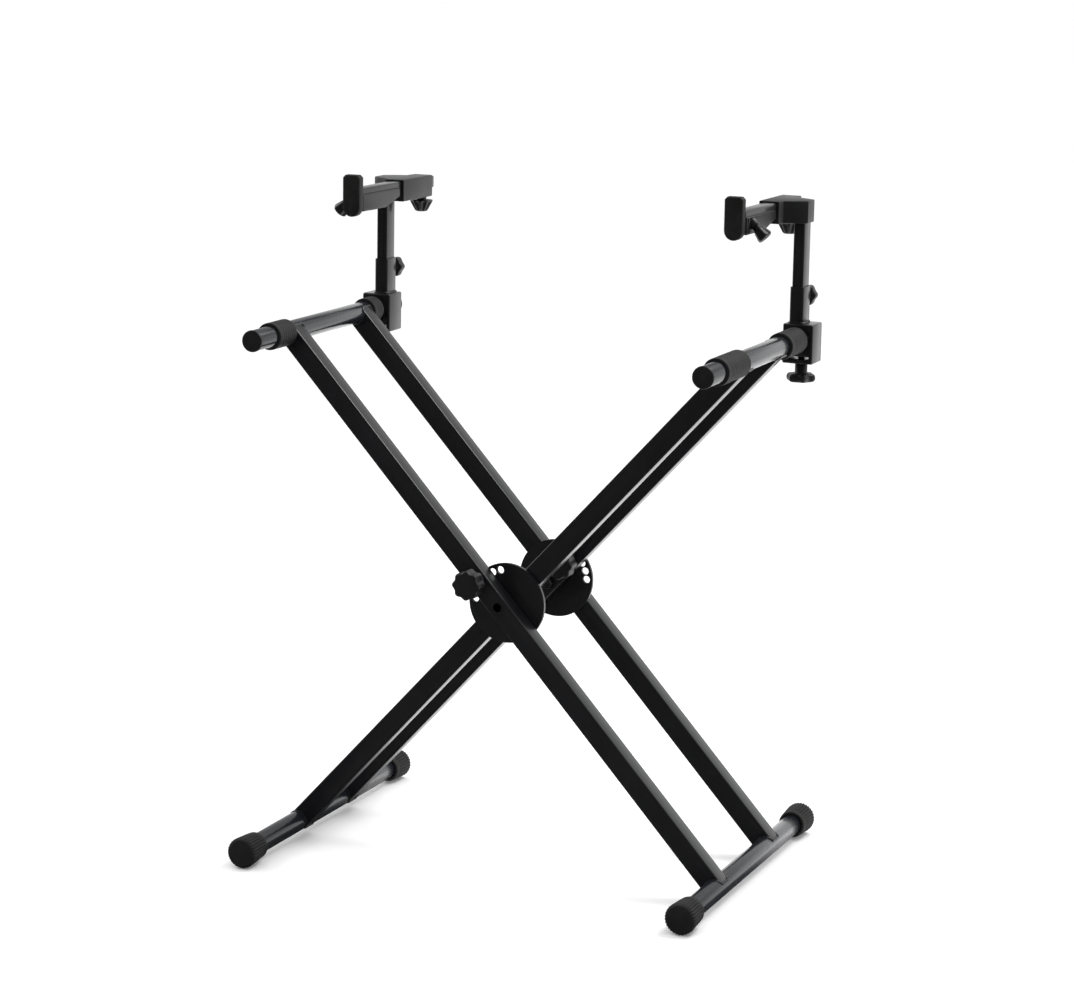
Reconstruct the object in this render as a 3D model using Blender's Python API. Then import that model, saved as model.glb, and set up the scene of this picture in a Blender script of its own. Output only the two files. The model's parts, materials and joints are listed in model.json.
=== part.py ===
"""Two-tier folding keyboard stand: two crossed tube frames, two lock discs and a clamp-on second tier.

Metres, +Z up. The origin is on the floor under the pivot, +X runs along the keyboards to the right and
+Y away from the player. The stand is set as it is used, with both lock pins at the discs.
"""

import math

import bmesh
import bpy
from mathutils import Euler, Matrix, Vector

# Driving dimensions of the folding frames
LEG_ANGLE = math.radians(47.75)
LEG_SPAN = 1.000
LEG_SIZE = 0.030
LEG_WALL = 0.0015
LEG_CORNER = 0.003
OUTER_LEG_Y = 0.1115
INNER_LEG_Y = 0.073
FOOT_CAP_RADIUS = 0.023
FOOT_CAP_MOUTH_RADIUS = 0.020
FOOT_CAP_LENGTH = 0.048
FOOT_CAP_FLOOR = 0.004
FOOT_HALF_LENGTH = 0.267
FOOT_RIBS = 22
TUBE_RADIUS = 0.015
TUBE_WALL = 0.002
ARM_HALF_LENGTH = 0.232
ARM_CAP_HEAD = 0.0042
ARM_CAP_PLUG = 0.015
SLEEVE_RADIUS = 0.0195
SLEEVE_FRONT = 0.180
SLEEVE_REAR = 0.158
GAP = 0.0003

# Driving dimensions of the locks and the pivot
DISC_RADIUS = 0.058
DISC_THICKNESS = 0.005
DISC_HOLES = 6
DISC_HOLE_RADIUS = 0.0055
DISC_HOLE_CIRCLE = 0.0485
DISC_HOLE_PITCH = math.radians(15.0)
DISC_FIRST_HOLE = math.radians(54.5)
BOLT_RADIUS = 0.005
BOLT_HEAD_RADIUS = 0.0075
BOLT_HEAD_LENGTH = 0.008
NUT_RADIUS = 0.0095
NUT_LENGTH = 0.008
WASHER_RADIUS = 0.012
BUSH_RADIUS = 0.008
BUSH_FLANGE_RADIUS = 0.012
BUSH_FLANGE = 0.003
PIN_RADIUS = 0.0045
LOCK_KNOB_RADIUS = 0.0215
LOCK_KNOB_REACH = 0.040
LOCK_KNOB_HEAD = 0.024

# Driving dimensions of the second tier
UPRIGHT_X = 0.331
UPRIGHT_Y = 0.192
UPRIGHT_WIDTH = 0.017
UPRIGHT_DEPTH = 0.029
UPRIGHT_WALL = 0.0015
UPRIGHT_TOP = 0.9497
OUTER_UPRIGHT_WALL = 0.002
OUTER_UPRIGHT_TOP = 0.838
LINER_RADIUS = 0.0173
CLAMP_LENGTH = 0.044
SHELF_X = 0.295
SHELF_TOP = 0.960
SHELF_HEIGHT = 0.018
SHELF_WIDTH = 0.022
SHELF_FRONT = 0.014
SHELF_REAR = 0.260
HEAD_FRONT = 0.146
HEAD_REAR = 0.248
HEAD_BOTTOM = 0.930
HEAD_TOP = 0.9625
STOP_WIDTH = 0.029
STOP_FRONT = 0.0096
STOP_REAR = 0.136
PEG_WIDTH = 0.0275
PEG_DEPTH = 0.0143
PEG_BOTTOM = 0.920
PEG_TOP = 0.981
SADDLE_TOP = 0.022
SADDLE_BOTTOM = -0.0355
SADDLE_WALL = 0.0055
SADDLE_FLOOR = 0.006
LINER_OVERHANG = 0.001
LINER_SLIT = 0.002
SHOE_BOTTOM = -0.025
SHOE_HEIGHT = 0.017
CLAMP_KNOB_RADIUS = 0.022
CLAMP_KNOB_LOW = 0.6995
CLAMP_KNOB_TOP = 0.714
CLAMP_SCREW_RADIUS = 0.005
UPRIGHT_PLAY = 0.0003
UPRIGHT_GROOVE = 0.0012
HEIGHT_KNOB_Z = 0.822
REAR_KNOB_OFFSET = 0.050
SCREW_RADIUS = 0.004
STOP_BOTTOM = 0.927
STOP_CHEEK_TOP = 0.952
STOP_SCREW_X = 0.0125
STOP_SCREW_Y = 0.031
STOP_SCREW_Z = 0.9455
STOP_SCREW_SLOPE = math.radians(135)
PEG_OFFSET = 0.0013

# Places that follow from them
LEG_HALF = LEG_SPAN / 2
FRAME_X = LEG_HALF * math.cos(LEG_ANGLE)
PIVOT_Z = FOOT_CAP_RADIUS + LEG_HALF * math.sin(LEG_ANGLE)
ARM_Z = PIVOT_Z + LEG_HALF * math.sin(LEG_ANGLE)
LEG_LEAN = math.pi / 2 - LEG_ANGLE
PIVOT = Vector((0.0, 0.0, PIVOT_Z))
LINED_RADIUS = TUBE_RADIUS + GAP

# Turns that lay a piece modelled along +Z on another axis
UPWARD = (0.0, 0.0, 0.0)
REARWARD = (-math.pi / 2, 0.0, 0.0)
FORWARD = (math.pi / 2, 0.0, 0.0)


def clear_scene():
    for thing in list(bpy.data.objects):
        bpy.data.objects.remove(thing, do_unlink=True)


def material(name, color, roughness, metallic):
    made = bpy.data.materials.new(name)
    made.use_nodes = True
    shader = made.node_tree.nodes["Principled BSDF"]
    shader.inputs["Base Color"].default_value = (*color, 1.0)
    shader.inputs["Roughness"].default_value = roughness
    shader.inputs["Metallic"].default_value = metallic
    return made


def axis_empty(name, at, parent=None):
    """An empty on a joint's axis, which carries the pieces that move with it."""
    empty = bpy.data.objects.new(name, None)
    empty.empty_display_size = 0.05
    bpy.context.scene.collection.objects.link(empty)
    place(empty, parent, at)
    return empty


def world_place(thing):
    """Where an unturned chain of parents puts an empty."""
    spot = Vector(thing.location)
    while thing.parent:
        thing = thing.parent
        spot += thing.location
    return spot


def place(thing, parent, at, turn=UPWARD):
    thing.parent = parent
    start = world_place(parent) if parent else Vector()
    thing.location = Vector(at) - start
    thing.rotation_euler = turn


def add_piece(name, shape, look, parent, at, turn=UPWARD):
    """Makes the bmesh an object, with smooth round faces and sharp edges."""
    bmesh.ops.recalc_face_normals(shape, faces=shape.faces)
    mesh = bpy.data.meshes.new(name)
    shape.to_mesh(mesh)
    shape.free()
    mesh.shade_smooth()
    mesh.set_sharp_from_angle(angle=math.radians(35))
    mesh.materials.append(look)
    piece = bpy.data.objects.new(name, mesh)
    bpy.context.scene.collection.objects.link(piece)
    place(piece, parent, at, turn)
    return piece


def cut(piece, shape, label, operation="DIFFERENCE"):
    """Cuts a bmesh, given in the piece's own axes, out of it, or joins it on."""
    bmesh.ops.recalc_face_normals(shape, faces=shape.faces)
    mesh = bpy.data.meshes.new(f"{piece.name}_{label}")
    shape.to_mesh(mesh)
    shape.free()
    cutter = bpy.data.objects.new(f"{piece.name}_{label}", mesh)
    bpy.context.scene.collection.objects.link(cutter)
    cutter.parent = piece
    cutter.hide_render = True
    cutter.display_type = "WIRE"
    boolean = piece.modifiers.new(label, "BOOLEAN")
    boolean.operation = operation
    boolean.solver = "EXACT"
    boolean.object = cutter


def join_on(piece, shape, label):
    cut(piece, shape, label, "UNION")


# Outlines

def circle(radius, count):
    turns = [2 * math.pi * step / count for step in range(count)]
    return [(radius * math.cos(turn), radius * math.sin(turn)) for turn in turns]


def arc(center, radius, first, last, steps):
    turns = [first + (last - first) * step / steps for step in range(steps + 1)]
    return [(center[0] + radius * math.cos(turn), center[1] + radius * math.sin(turn)) for turn in turns]


def rounded_rectangle(width, depth, corner, steps=2):
    outline = []
    for quarter, (side, end) in enumerate(((1, 1), (-1, 1), (-1, -1), (1, -1))):
        center = (side * (width / 2 - corner), end * (depth / 2 - corner))
        first = quarter * math.pi / 2
        outline += arc(center, corner, first, first + math.pi / 2, steps)
    return outline


# Solids along +Z

def extruded(outline, bottom, top, bore=None):
    """The outline between two heights, with an inner outline left open when one is given."""
    shape = bmesh.new()
    loops = []
    for ring in [outline] + ([bore] if bore else []):
        verts = [shape.verts.new((x, y, bottom)) for x, y in ring]
        loops += [shape.edges.new((a, b)) for a, b in zip(verts, verts[1:] + verts[:1])]
    if bore:
        bmesh.ops.bridge_loops(shape, edges=loops)
    else:
        shape.faces.new(list(shape.verts))
    grown = bmesh.ops.extrude_face_region(shape, geom=list(shape.faces))
    moved = [item for item in grown["geom"] if isinstance(item, bmesh.types.BMVert)]
    bmesh.ops.translate(shape, verts=moved, vec=(0.0, 0.0, top - bottom))
    bmesh.ops.recalc_face_normals(shape, faces=shape.faces)
    return shape


def turned(profile, steps=24):
    """A profile of (radius, height) points spun round Z. One that starts off the axis is a closed ring."""
    shape = bmesh.new()
    verts = [shape.verts.new((radius, 0.0, height)) for radius, height in profile]
    edges = [shape.edges.new(pair) for pair in zip(verts, verts[1:])]
    if profile[0][0] > 0:
        edges.append(shape.edges.new((verts[-1], verts[0])))
    bmesh.ops.spin(
        shape, geom=verts + edges, cent=(0, 0, 0), axis=(0, 0, 1),
        angle=2 * math.pi, steps=steps, use_merge=True,
    )
    bmesh.ops.remove_doubles(shape, verts=shape.verts, dist=1e-6)
    bmesh.ops.recalc_face_normals(shape, faces=shape.faces)
    return shape


def fluted(levels, lobes, points):
    """Rings of (radius, height, flute depth) joined in turn, with both last rings closed."""
    shape = bmesh.new()
    rings = []
    for radius, height, depth in levels:
        ring = []
        for step in range(lobes * points):
            turn = 2 * math.pi * step / (lobes * points)
            reach = radius - depth * (0.5 - 0.5 * math.cos(lobes * turn))
            ring.append(shape.verts.new((reach * math.cos(turn), reach * math.sin(turn), height)))
        rings.append(ring)
    for low, high in zip(rings, rings[1:]):
        for step, (a, b) in enumerate(zip(low, low[1:] + low[:1])):
            shape.faces.new((a, b, high[(step + 1) % len(high)], high[step]))
    shape.faces.new(list(reversed(rings[0])))
    shape.faces.new(rings[-1])
    bmesh.ops.recalc_face_normals(shape, faces=shape.faces)
    return shape


def laid(shape, at, turn=UPWARD):
    """Moves a bmesh to where it is cut or joined."""
    matrix = Matrix.LocRotScale(Vector(at), Euler(turn), None)
    bmesh.ops.transform(shape, matrix=matrix, verts=shape.verts)
    return shape


def box(width, depth, height, at):
    shape = bmesh.new()
    bmesh.ops.create_cube(shape, size=1.0)
    bmesh.ops.scale(shape, vec=(width, depth, height), verts=shape.verts)
    return laid(shape, at)


def cylinder(radius, length, steps=24):
    return extruded(circle(radius, steps), -length / 2, length / 2)


def joined(*shapes):
    """Several cutters that don't touch, as one."""
    whole = bmesh.new()
    for shape in shapes:
        mesh = bpy.data.meshes.new("cutter_part")
        shape.to_mesh(mesh)
        shape.free()
        whole.from_mesh(mesh)
        bpy.data.meshes.remove(mesh)
    return whole


def beveled(shape, width, wanted, segments=1):
    """Bevels the edges that the test names."""
    edges = [edge for edge in shape.edges if wanted(edge)]
    bmesh.ops.bevel(
        shape, geom=edges, offset=width, segments=segments, profile=0.5, affect="EDGES", clamp_overlap=True,
    )
    return shape


def is_rim(edge):
    """An edge round an end face of an extrusion."""
    flat = [abs(face.normal.z) > 0.99 for face in edge.link_faces]
    return len(flat) == 2 and flat[0] != flat[1]


# The two crossed frames

def make_leg(name, y, lean, parent, look, lock_hole, access_side):
    """A square leg, coped to the round tubes at its ends and drilled for the pivot and the lock pin."""
    outer = rounded_rectangle(LEG_SIZE, LEG_SIZE, LEG_CORNER)
    inner = rounded_rectangle(LEG_SIZE - 2 * LEG_WALL, LEG_SIZE - 2 * LEG_WALL, LEG_CORNER - LEG_WALL)
    shape = extruded(outer, -LEG_HALF, LEG_HALF, inner)
    leg = add_piece(name, shape, look, parent, (0, y, PIVOT_Z), (0, lean, 0))
    ends = [laid(cylinder(LINED_RADIUS, 2 * LEG_SIZE), (0, 0, end * LEG_HALF), REARWARD) for end in (-1, 1)]
    bores = [laid(cylinder(BOLT_RADIUS + GAP, 2 * LEG_SIZE, 20), (0, 0, 0), REARWARD)]
    if lock_hole:
        bores.append(laid(cylinder(BUSH_RADIUS + GAP, 2 * LEG_SIZE, 20), (0, 0, DISC_HOLE_CIRCLE), REARWARD))
    cut(leg, joined(*ends, *bores), "copes_and_bores")
    if access_side:
        access = cylinder(BOLT_HEAD_RADIUS + 0.001, LEG_SIZE / 2, 24)
        cut(leg, laid(access, (0, access_side * LEG_SIZE / 2, 0), REARWARD), "access_hole")


def make_round_tube(name, half_length, x, z, parent, look):
    profile = [
        (TUBE_RADIUS, -half_length),
        (TUBE_RADIUS, half_length),
        (TUBE_RADIUS - TUBE_WALL, half_length),
        (TUBE_RADIUS - TUBE_WALL, -half_length),
    ]
    return add_piece(name, turned(profile), look, parent, (x, 0, z), REARWARD)


def make_foot_cap(name, x, side, parent, look):
    """A ribbed rubber cup that tapers from its chamfered face to a smooth rim at its mouth."""
    rib = 0.0012
    face = FOOT_CAP_RADIUS
    mouth = FOOT_CAP_MOUTH_RADIUS
    levels = [
        (face - 0.0045, 0.0, 0.0),
        (face - 0.0015, 0.0018, 0.0),
        (face, 0.005, rib),
        (face - 0.0005, 0.012, rib),
        (mouth + 0.0006, FOOT_CAP_LENGTH - 0.009, rib),
        (mouth, FOOT_CAP_LENGTH - 0.007, 0.0),
        (mouth, FOOT_CAP_LENGTH - 0.0015, 0.0),
        (mouth - 0.0015, FOOT_CAP_LENGTH, 0.0),
        (LINED_RADIUS, FOOT_CAP_LENGTH, 0.0),
        (LINED_RADIUS, FOOT_CAP_FLOOR, 0.0),
    ]
    cap = fluted(levels, FOOT_RIBS, 2)
    bmesh.ops.rotate(cap, cent=(0, 0, 0), matrix=Matrix.Rotation(math.pi / 2, 3, "Z"), verts=cap.verts)
    turn = FORWARD if side > 0 else REARWARD
    return add_piece(name, cap, look, parent, (x, side * FOOT_HALF_LENGTH, FOOT_CAP_RADIUS), turn)


def make_arm_cap(name, x, side, parent, look):
    """A moulded plug in the end of a support arm, with a round-edged face."""
    head = TUBE_RADIUS + 0.0006
    edge = 0.0014
    profile = [(0.0, 0.0), (head - edge, 0.0)]
    profile += arc((head - edge, edge), edge, -math.pi / 3, 0.0, 2)
    profile += [
        (head, ARM_CAP_HEAD),
        (TUBE_RADIUS - TUBE_WALL - GAP, ARM_CAP_HEAD),
        (TUBE_RADIUS - TUBE_WALL - GAP, ARM_CAP_HEAD + ARM_CAP_PLUG),
        (0.0, ARM_CAP_HEAD + ARM_CAP_PLUG),
    ]
    turn = FORWARD if side > 0 else REARWARD
    return add_piece(name, turned(profile, 20), look, parent, (x, side * ARM_HALF_LENGTH, ARM_Z), turn)


def make_sleeve(name, x, first, last, parent, look):
    """A rubber grip sleeve round a support arm, from one distance along it to another."""
    chamfer = 0.0015
    profile = [
        (LINED_RADIUS, first),
        (SLEEVE_RADIUS - chamfer, first),
        (SLEEVE_RADIUS, first + chamfer),
        (SLEEVE_RADIUS, last - chamfer),
        (SLEEVE_RADIUS - chamfer, last),
        (LINED_RADIUS, last),
    ]
    return add_piece(name, turned(profile), look, parent, (x, 0, ARM_Z), REARWARD)


def make_frame(side, tag, leg_y, lean, parent, looks):
    """One frame: two legs, its foot on one side and its support arm on the other, with all that they wear."""
    foot_side, arm_side = (("right", "left") if side > 0 else ("left", "right"))
    foot_x = side * FRAME_X
    outer = tag == "outer"
    make_leg(f"{tag}_leg_front", -leg_y, lean, parent, looks["frame"], outer, -1 if outer else 0)
    make_leg(f"{tag}_leg_rear", leg_y, lean, parent, looks["frame"], not outer, 1 if outer else 0)
    tube_half = FOOT_HALF_LENGTH - FOOT_CAP_FLOOR - GAP
    make_round_tube(f"{foot_side}_foot_tube", tube_half, foot_x, FOOT_CAP_RADIUS, parent, looks["tube"])
    arm_half = ARM_HALF_LENGTH - ARM_CAP_HEAD - GAP
    make_round_tube(f"{arm_side}_support_arm", arm_half, -foot_x, ARM_Z, parent, looks["tube"])
    for end, place_name in ((-1, "front"), (1, "rear")):
        make_foot_cap(f"{foot_side}_foot_cap_{place_name}", foot_x, end, parent, looks["rubber"])
        make_arm_cap(f"{arm_side}_arm_cap_{place_name}", -foot_x, end, parent, looks["plastic"])
    clear = leg_y + LEG_SIZE / 2 + 0.002
    make_sleeve(f"{arm_side}_arm_sleeve_front", -foot_x, -SLEEVE_FRONT, -clear, parent, looks["rubber"])
    make_sleeve(f"{arm_side}_arm_sleeve_rear", -foot_x, clear, SLEEVE_REAR, parent, looks["rubber"])


# The pivot and the locks

def make_lock_disc(name, front_face, mirrored, parent, look):
    """A round plate welded to a leg, with its lock holes on an arc and the pivot hole at its centre."""
    shape = beveled(extruded(circle(DISC_RADIUS, 44), 0.0, DISC_THICKNESS), 0.0006, is_rim)
    disc = add_piece(name, shape, look, parent, (0, front_face, PIVOT_Z), REARWARD)
    holes = [cylinder(BOLT_RADIUS + GAP, 4 * DISC_THICKNESS, 20)]
    for step in range(DISC_HOLES):
        turn = LEG_ANGLE + DISC_FIRST_HOLE + step * DISC_HOLE_PITCH
        if mirrored:
            turn = math.pi - turn
        # Local Y of a piece laid rearward points down
        spot = (DISC_HOLE_CIRCLE * math.cos(turn), -DISC_HOLE_CIRCLE * math.sin(turn), 0)
        holes.append(laid(cylinder(DISC_HOLE_RADIUS, 4 * DISC_THICKNESS, 16), spot))
    cut(disc, joined(*holes), "holes")


def make_pivot(tag, side, parent, looks):
    """A socket-head bolt through both legs from inside the outer one, its washer and its nut."""
    turn = FORWARD if side > 0 else REARWARD
    head_seat = OUTER_LEG_Y - LEG_SIZE / 2 + LEG_WALL + GAP
    nut_face = INNER_LEG_Y - LEG_SIZE / 2 - GAP
    tip = nut_face - NUT_LENGTH - 0.001
    head_top = head_seat + BOLT_HEAD_LENGTH
    socket = 0.003
    profile = [
        (0.0, socket),
        (socket, socket),
        (socket, 0.0),
        (BOLT_HEAD_RADIUS - 0.001, 0.0),
        (BOLT_HEAD_RADIUS, 0.001),
        (BOLT_HEAD_RADIUS, BOLT_HEAD_LENGTH),
        (BOLT_RADIUS, BOLT_HEAD_LENGTH),
        (BOLT_RADIUS, head_top - tip - 0.001),
        (BOLT_RADIUS - 0.001, head_top - tip),
        (0.0, head_top - tip),
    ]
    bolt = turned(profile, 16)
    add_piece(f"pivot_bolt_{tag}", bolt, looks["steel"], parent, (0, side * head_top, PIVOT_Z), turn)
    nut = extruded(circle(NUT_RADIUS, 6), 0.0, NUT_LENGTH, circle(BOLT_RADIUS + GAP, 18))
    add_piece(f"pivot_nut_{tag}", nut, looks["steel"], parent, (0, side * nut_face, PIVOT_Z), turn)
    thick = 0.0026
    if side < 0:
        washer_top = OUTER_LEG_Y - LEG_SIZE / 2 - GAP
    else:
        washer_top = INNER_LEG_Y + LEG_SIZE / 2 + GAP + thick
    washer = extruded(circle(WASHER_RADIUS, 20), 0.0, thick, circle(BOLT_RADIUS + GAP, 20))
    add_piece(f"pivot_washer_{tag}", washer, looks["steel"], parent, (0, side * washer_top, PIVOT_Z), turn)


def make_lock(tag, face, direction, bush_parent, knob_parent, looks):
    """The bush in a leg's front face, and the pull pin with its eight-sided knob."""
    at = PIVOT + Vector((direction * math.cos(LEG_ANGLE), 0, math.sin(LEG_ANGLE))) * DISC_HOLE_CIRCLE
    at.y = face
    reach = LEG_SIZE - GAP
    bore = PIN_RADIUS + GAP
    bush = [
        (bore, -BUSH_FLANGE - GAP),
        (BUSH_FLANGE_RADIUS, -BUSH_FLANGE - GAP),
        (BUSH_FLANGE_RADIUS, -GAP),
        (BUSH_RADIUS, -GAP),
        (BUSH_RADIUS, reach),
        (bore, reach),
    ]
    add_piece(f"{tag}_lock_bush", turned(bush, 20), looks["steel"], bush_parent, at, REARWARD)
    nose = LEG_SIZE + 0.0029
    pin = [
        (0.0, nose),
        (PIN_RADIUS - 0.001, nose),
        (PIN_RADIUS, nose - 0.001),
        (PIN_RADIUS, -LOCK_KNOB_REACH + 0.012),
        (0.0, -LOCK_KNOB_REACH + 0.012),
    ]
    add_piece(f"{tag}_lock_pin", turned(pin, 16), looks["steel"], knob_parent, at, REARWARD)
    neck = 0.0105
    rim = 0.0025
    levels = [
        (LOCK_KNOB_RADIUS - rim, -LOCK_KNOB_REACH, 0.001),
        (LOCK_KNOB_RADIUS, -LOCK_KNOB_REACH + rim, 0.0028),
        (LOCK_KNOB_RADIUS, -LOCK_KNOB_REACH + LOCK_KNOB_HEAD - rim, 0.0028),
        (LOCK_KNOB_RADIUS - rim, -LOCK_KNOB_REACH + LOCK_KNOB_HEAD, 0.001),
        (neck, -LOCK_KNOB_REACH + LOCK_KNOB_HEAD + 0.001, 0.0),
        (neck, -BUSH_FLANGE - 2 * GAP, 0.0),
        (bore, -BUSH_FLANGE - 2 * GAP, 0.0),
        (bore, -LOCK_KNOB_REACH + 0.012 - GAP, 0.0),
    ]
    add_piece(f"{tag}_lock_knob", fluted(levels, 8, 3), looks["plastic"], knob_parent, at, REARWARD)


# The second tier, once on each side

def make_clamp(tag, x, slide, swing, looks):
    """The split liner, the saddle that the upright stands on and the shoe that its knob presses up."""
    at = (x, UPRIGHT_Y, ARM_Z)
    reach = CLAMP_LENGTH / 2 + LINER_OVERHANG
    ring = [(LINED_RADIUS, -reach), (LINER_RADIUS, -reach), (LINER_RADIUS, reach), (LINED_RADIUS, reach)]
    liner = add_piece(f"{tag}_clamp_liner", turned(ring), looks["plastic"], slide, at, REARWARD)
    slit = box(0.010, LINER_SLIT, 2 * CLAMP_LENGTH, (math.copysign(TUBE_RADIUS, x), 0, 0))
    cut(liner, slit, "slit")
    seat = LINER_RADIUS + GAP
    width = 2 * (seat + SADDLE_WALL)
    block = extruded(rounded_rectangle(width, CLAMP_LENGTH, 0.003), SADDLE_BOTTOM, SADDLE_TOP)
    saddle = add_piece(f"{tag}_clamp_saddle", beveled(block, 0.0015, is_rim), looks["frame"], swing, at)
    cut(saddle, laid(cylinder(seat, 2 * CLAMP_LENGTH), (0, 0, 0), REARWARD), "arm_bore")
    space = -SADDLE_BOTTOM - SADDLE_FLOOR
    cut(saddle, box(2 * seat - 0.0004, 2 * CLAMP_LENGTH, space, (0, 0, -space / 2)), "shoe_space")
    cut(saddle, laid(cylinder(CLAMP_SCREW_RADIUS + GAP, 0.02, 24), (0, 0, SADDLE_BOTTOM)), "screw_hole")
    shoe_middle = (0, 0, SHOE_BOTTOM + SHOE_HEIGHT / 2)
    shoe_shape = box(2 * seat - 0.002, CLAMP_LENGTH - 0.004, SHOE_HEIGHT, shoe_middle)
    shoe = add_piece(f"{tag}_clamp_shoe", shoe_shape, looks["steel"], swing, at)
    cut(shoe, laid(cylinder(seat, 2 * CLAMP_LENGTH), (0, 0, 0), REARWARD), "liner_seat")


def make_clamp_knob(tag, x, parent, look):
    """The flat star knob under the clamp, with its boss and its screw."""
    low = CLAMP_KNOB_LOW - ARM_Z
    top = CLAMP_KNOB_TOP - ARM_Z
    radius = CLAMP_KNOB_RADIUS
    boss = 0.008
    rim = 0.0025
    lobe = 0.0045
    levels = [
        (radius - rim, low, lobe * 0.6),
        (radius, low + rim, lobe),
        (radius, top - rim, lobe),
        (radius - rim, top, lobe * 0.6),
        (boss, top + 0.001, 0.0),
        (boss, SADDLE_BOTTOM - GAP, 0.0),
        (CLAMP_SCREW_RADIUS, SADDLE_BOTTOM - GAP, 0.0),
        (CLAMP_SCREW_RADIUS, SHOE_BOTTOM - GAP, 0.0),
    ]
    add_piece(f"{tag}_clamp_knob", fluted(levels, 6, 4), look, parent, (x, UPRIGHT_Y, ARM_Z))


def make_uprights(tag, x, outer_parent, inner_parent, looks):
    """The rectangular tube on the saddle, and the one that slides in it."""
    low = ARM_Z + SADDLE_TOP + GAP
    width = UPRIGHT_WIDTH + 2 * UPRIGHT_PLAY
    depth = UPRIGHT_DEPTH + 2 * UPRIGHT_PLAY
    outline = rounded_rectangle(width + 2 * OUTER_UPRIGHT_WALL, depth + 2 * OUTER_UPRIGHT_WALL, 0.004)
    shape = extruded(outline, 0, OUTER_UPRIGHT_TOP - low, rounded_rectangle(width, depth, 0.0022))
    tube = add_piece(f"{tag}_outer_upright", shape, looks["frame"], outer_parent, (x, UPRIGHT_Y, low))
    hole_at = (0, UPRIGHT_DEPTH / 2 + 0.003, HEIGHT_KNOB_Z - low)
    cut(tube, laid(cylinder(SCREW_RADIUS + GAP, 0.02, 20), hole_at, REARWARD), "screw_hole")
    start = low + 0.003
    outline = rounded_rectangle(UPRIGHT_WIDTH, UPRIGHT_DEPTH, 0.0025)
    bore = rounded_rectangle(UPRIGHT_WIDTH - 2 * UPRIGHT_WALL, UPRIGHT_DEPTH - 2 * UPRIGHT_WALL, 0.001)
    shape = extruded(outline, 0, UPRIGHT_TOP - start, bore)
    upright = add_piece(f"{tag}_inner_upright", shape, looks["frame"], inner_parent, (x, UPRIGHT_Y, start))
    grooves = []
    for offset in (-0.004, 0.004):
        grooves.append(box(UPRIGHT_GROOVE, UPRIGHT_GROOVE, 1.0, (offset, -UPRIGHT_DEPTH / 2, 0.5)))
    cut(upright, joined(*grooves), "front_grooves")


def make_height_knob(tag, x, parent, look):
    """The knob on the back of the outer upright that clamps the inner one."""
    start = UPRIGHT_DEPTH / 2 + UPRIGHT_PLAY + OUTER_UPRIGHT_WALL + GAP
    tip = UPRIGHT_DEPTH / 2 + 0.0004
    levels = [
        (SCREW_RADIUS, tip, 0.0),
        (SCREW_RADIUS, start, 0.0),
        (0.008, start, 0.0),
        (0.008, start + 0.005, 0.0),
        (0.0145, start + 0.006, 0.001),
        (0.016, start + 0.0085, 0.002),
        (0.016, start + 0.019, 0.002),
        (0.0135, start + 0.021, 0.001),
    ]
    at = (x, UPRIGHT_Y, HEIGHT_KNOB_Z)
    add_piece(f"{tag}_height_knob", fluted(levels, 6, 3), look, parent, at, REARWARD)


def make_head(tag, side, parent, look):
    """The moulded bracket that caps the upright and holds the shelf arm beside it."""
    sleeve = 0.015
    ear = UPRIGHT_X - SHELF_X + 0.0125
    ear_front = UPRIGHT_Y - 0.020
    ear_rear = UPRIGHT_Y + 0.020
    outline = [
        (-sleeve, HEAD_FRONT),
        (sleeve, HEAD_FRONT),
        (sleeve + 0.002, ear_front - 0.012),
        (ear - 0.008, ear_front),
        (ear, ear_front + 0.006),
        (ear, ear_rear - 0.006),
        (ear - 0.008, ear_rear),
        (sleeve + 0.002, ear_rear + 0.012),
        (sleeve, HEAD_REAR),
        (-sleeve, HEAD_REAR),
    ]
    outline = [(side * x, y - UPRIGHT_Y) for x, y in outline]
    shape = beveled(extruded(outline, HEAD_BOTTOM, HEAD_TOP), 0.0015, is_rim, 2)
    head = add_piece(f"{tag}_head_bracket", shape, look, parent, (side * SHELF_X, UPRIGHT_Y, 0))
    middle = SHELF_TOP - SHELF_HEIGHT / 2
    cut(head, box(SHELF_WIDTH + 2 * GAP, 0.3, SHELF_HEIGHT + 2 * GAP, (0, 0, middle)), "arm_bore")
    outline = rounded_rectangle(UPRIGHT_WIDTH + 2 * GAP, UPRIGHT_DEPTH + 2 * GAP, 0.0025)
    pocket = extruded(outline, HEAD_BOTTOM - 0.01, UPRIGHT_TOP + GAP)
    cut(head, laid(pocket, (side * (UPRIGHT_X - SHELF_X), 0, 0)), "upright_pocket")
    screw_hole = cylinder(SCREW_RADIUS + GAP, 0.03, 20)
    cut(head, laid(screw_hole, (0, REAR_KNOB_OFFSET, HEAD_BOTTOM)), "screw_hole")


def make_rear_knob(tag, x, parent, look):
    """The tapered fluted knob under the head bracket that clamps the shelf arm."""
    levels = [
        (0.0085, 0.907, 0.0015),
        (0.0105, 0.9085, 0.002),
        (0.0165, 0.920, 0.003),
        (0.0175, 0.9225, 0.002),
        (0.0165, 0.9244, 0.0),
        (0.0075, 0.9248, 0.0),
        (0.0075, HEAD_BOTTOM - GAP, 0.0),
        (SCREW_RADIUS, HEAD_BOTTOM - GAP, 0.0),
        (SCREW_RADIUS, SHELF_TOP - SHELF_HEIGHT - 2 * GAP, 0.0),
    ]
    add_piece(f"{tag}_rear_knob", fluted(levels, 10, 2), look, parent, (x, UPRIGHT_Y + REAR_KNOB_OFFSET, 0))


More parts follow.
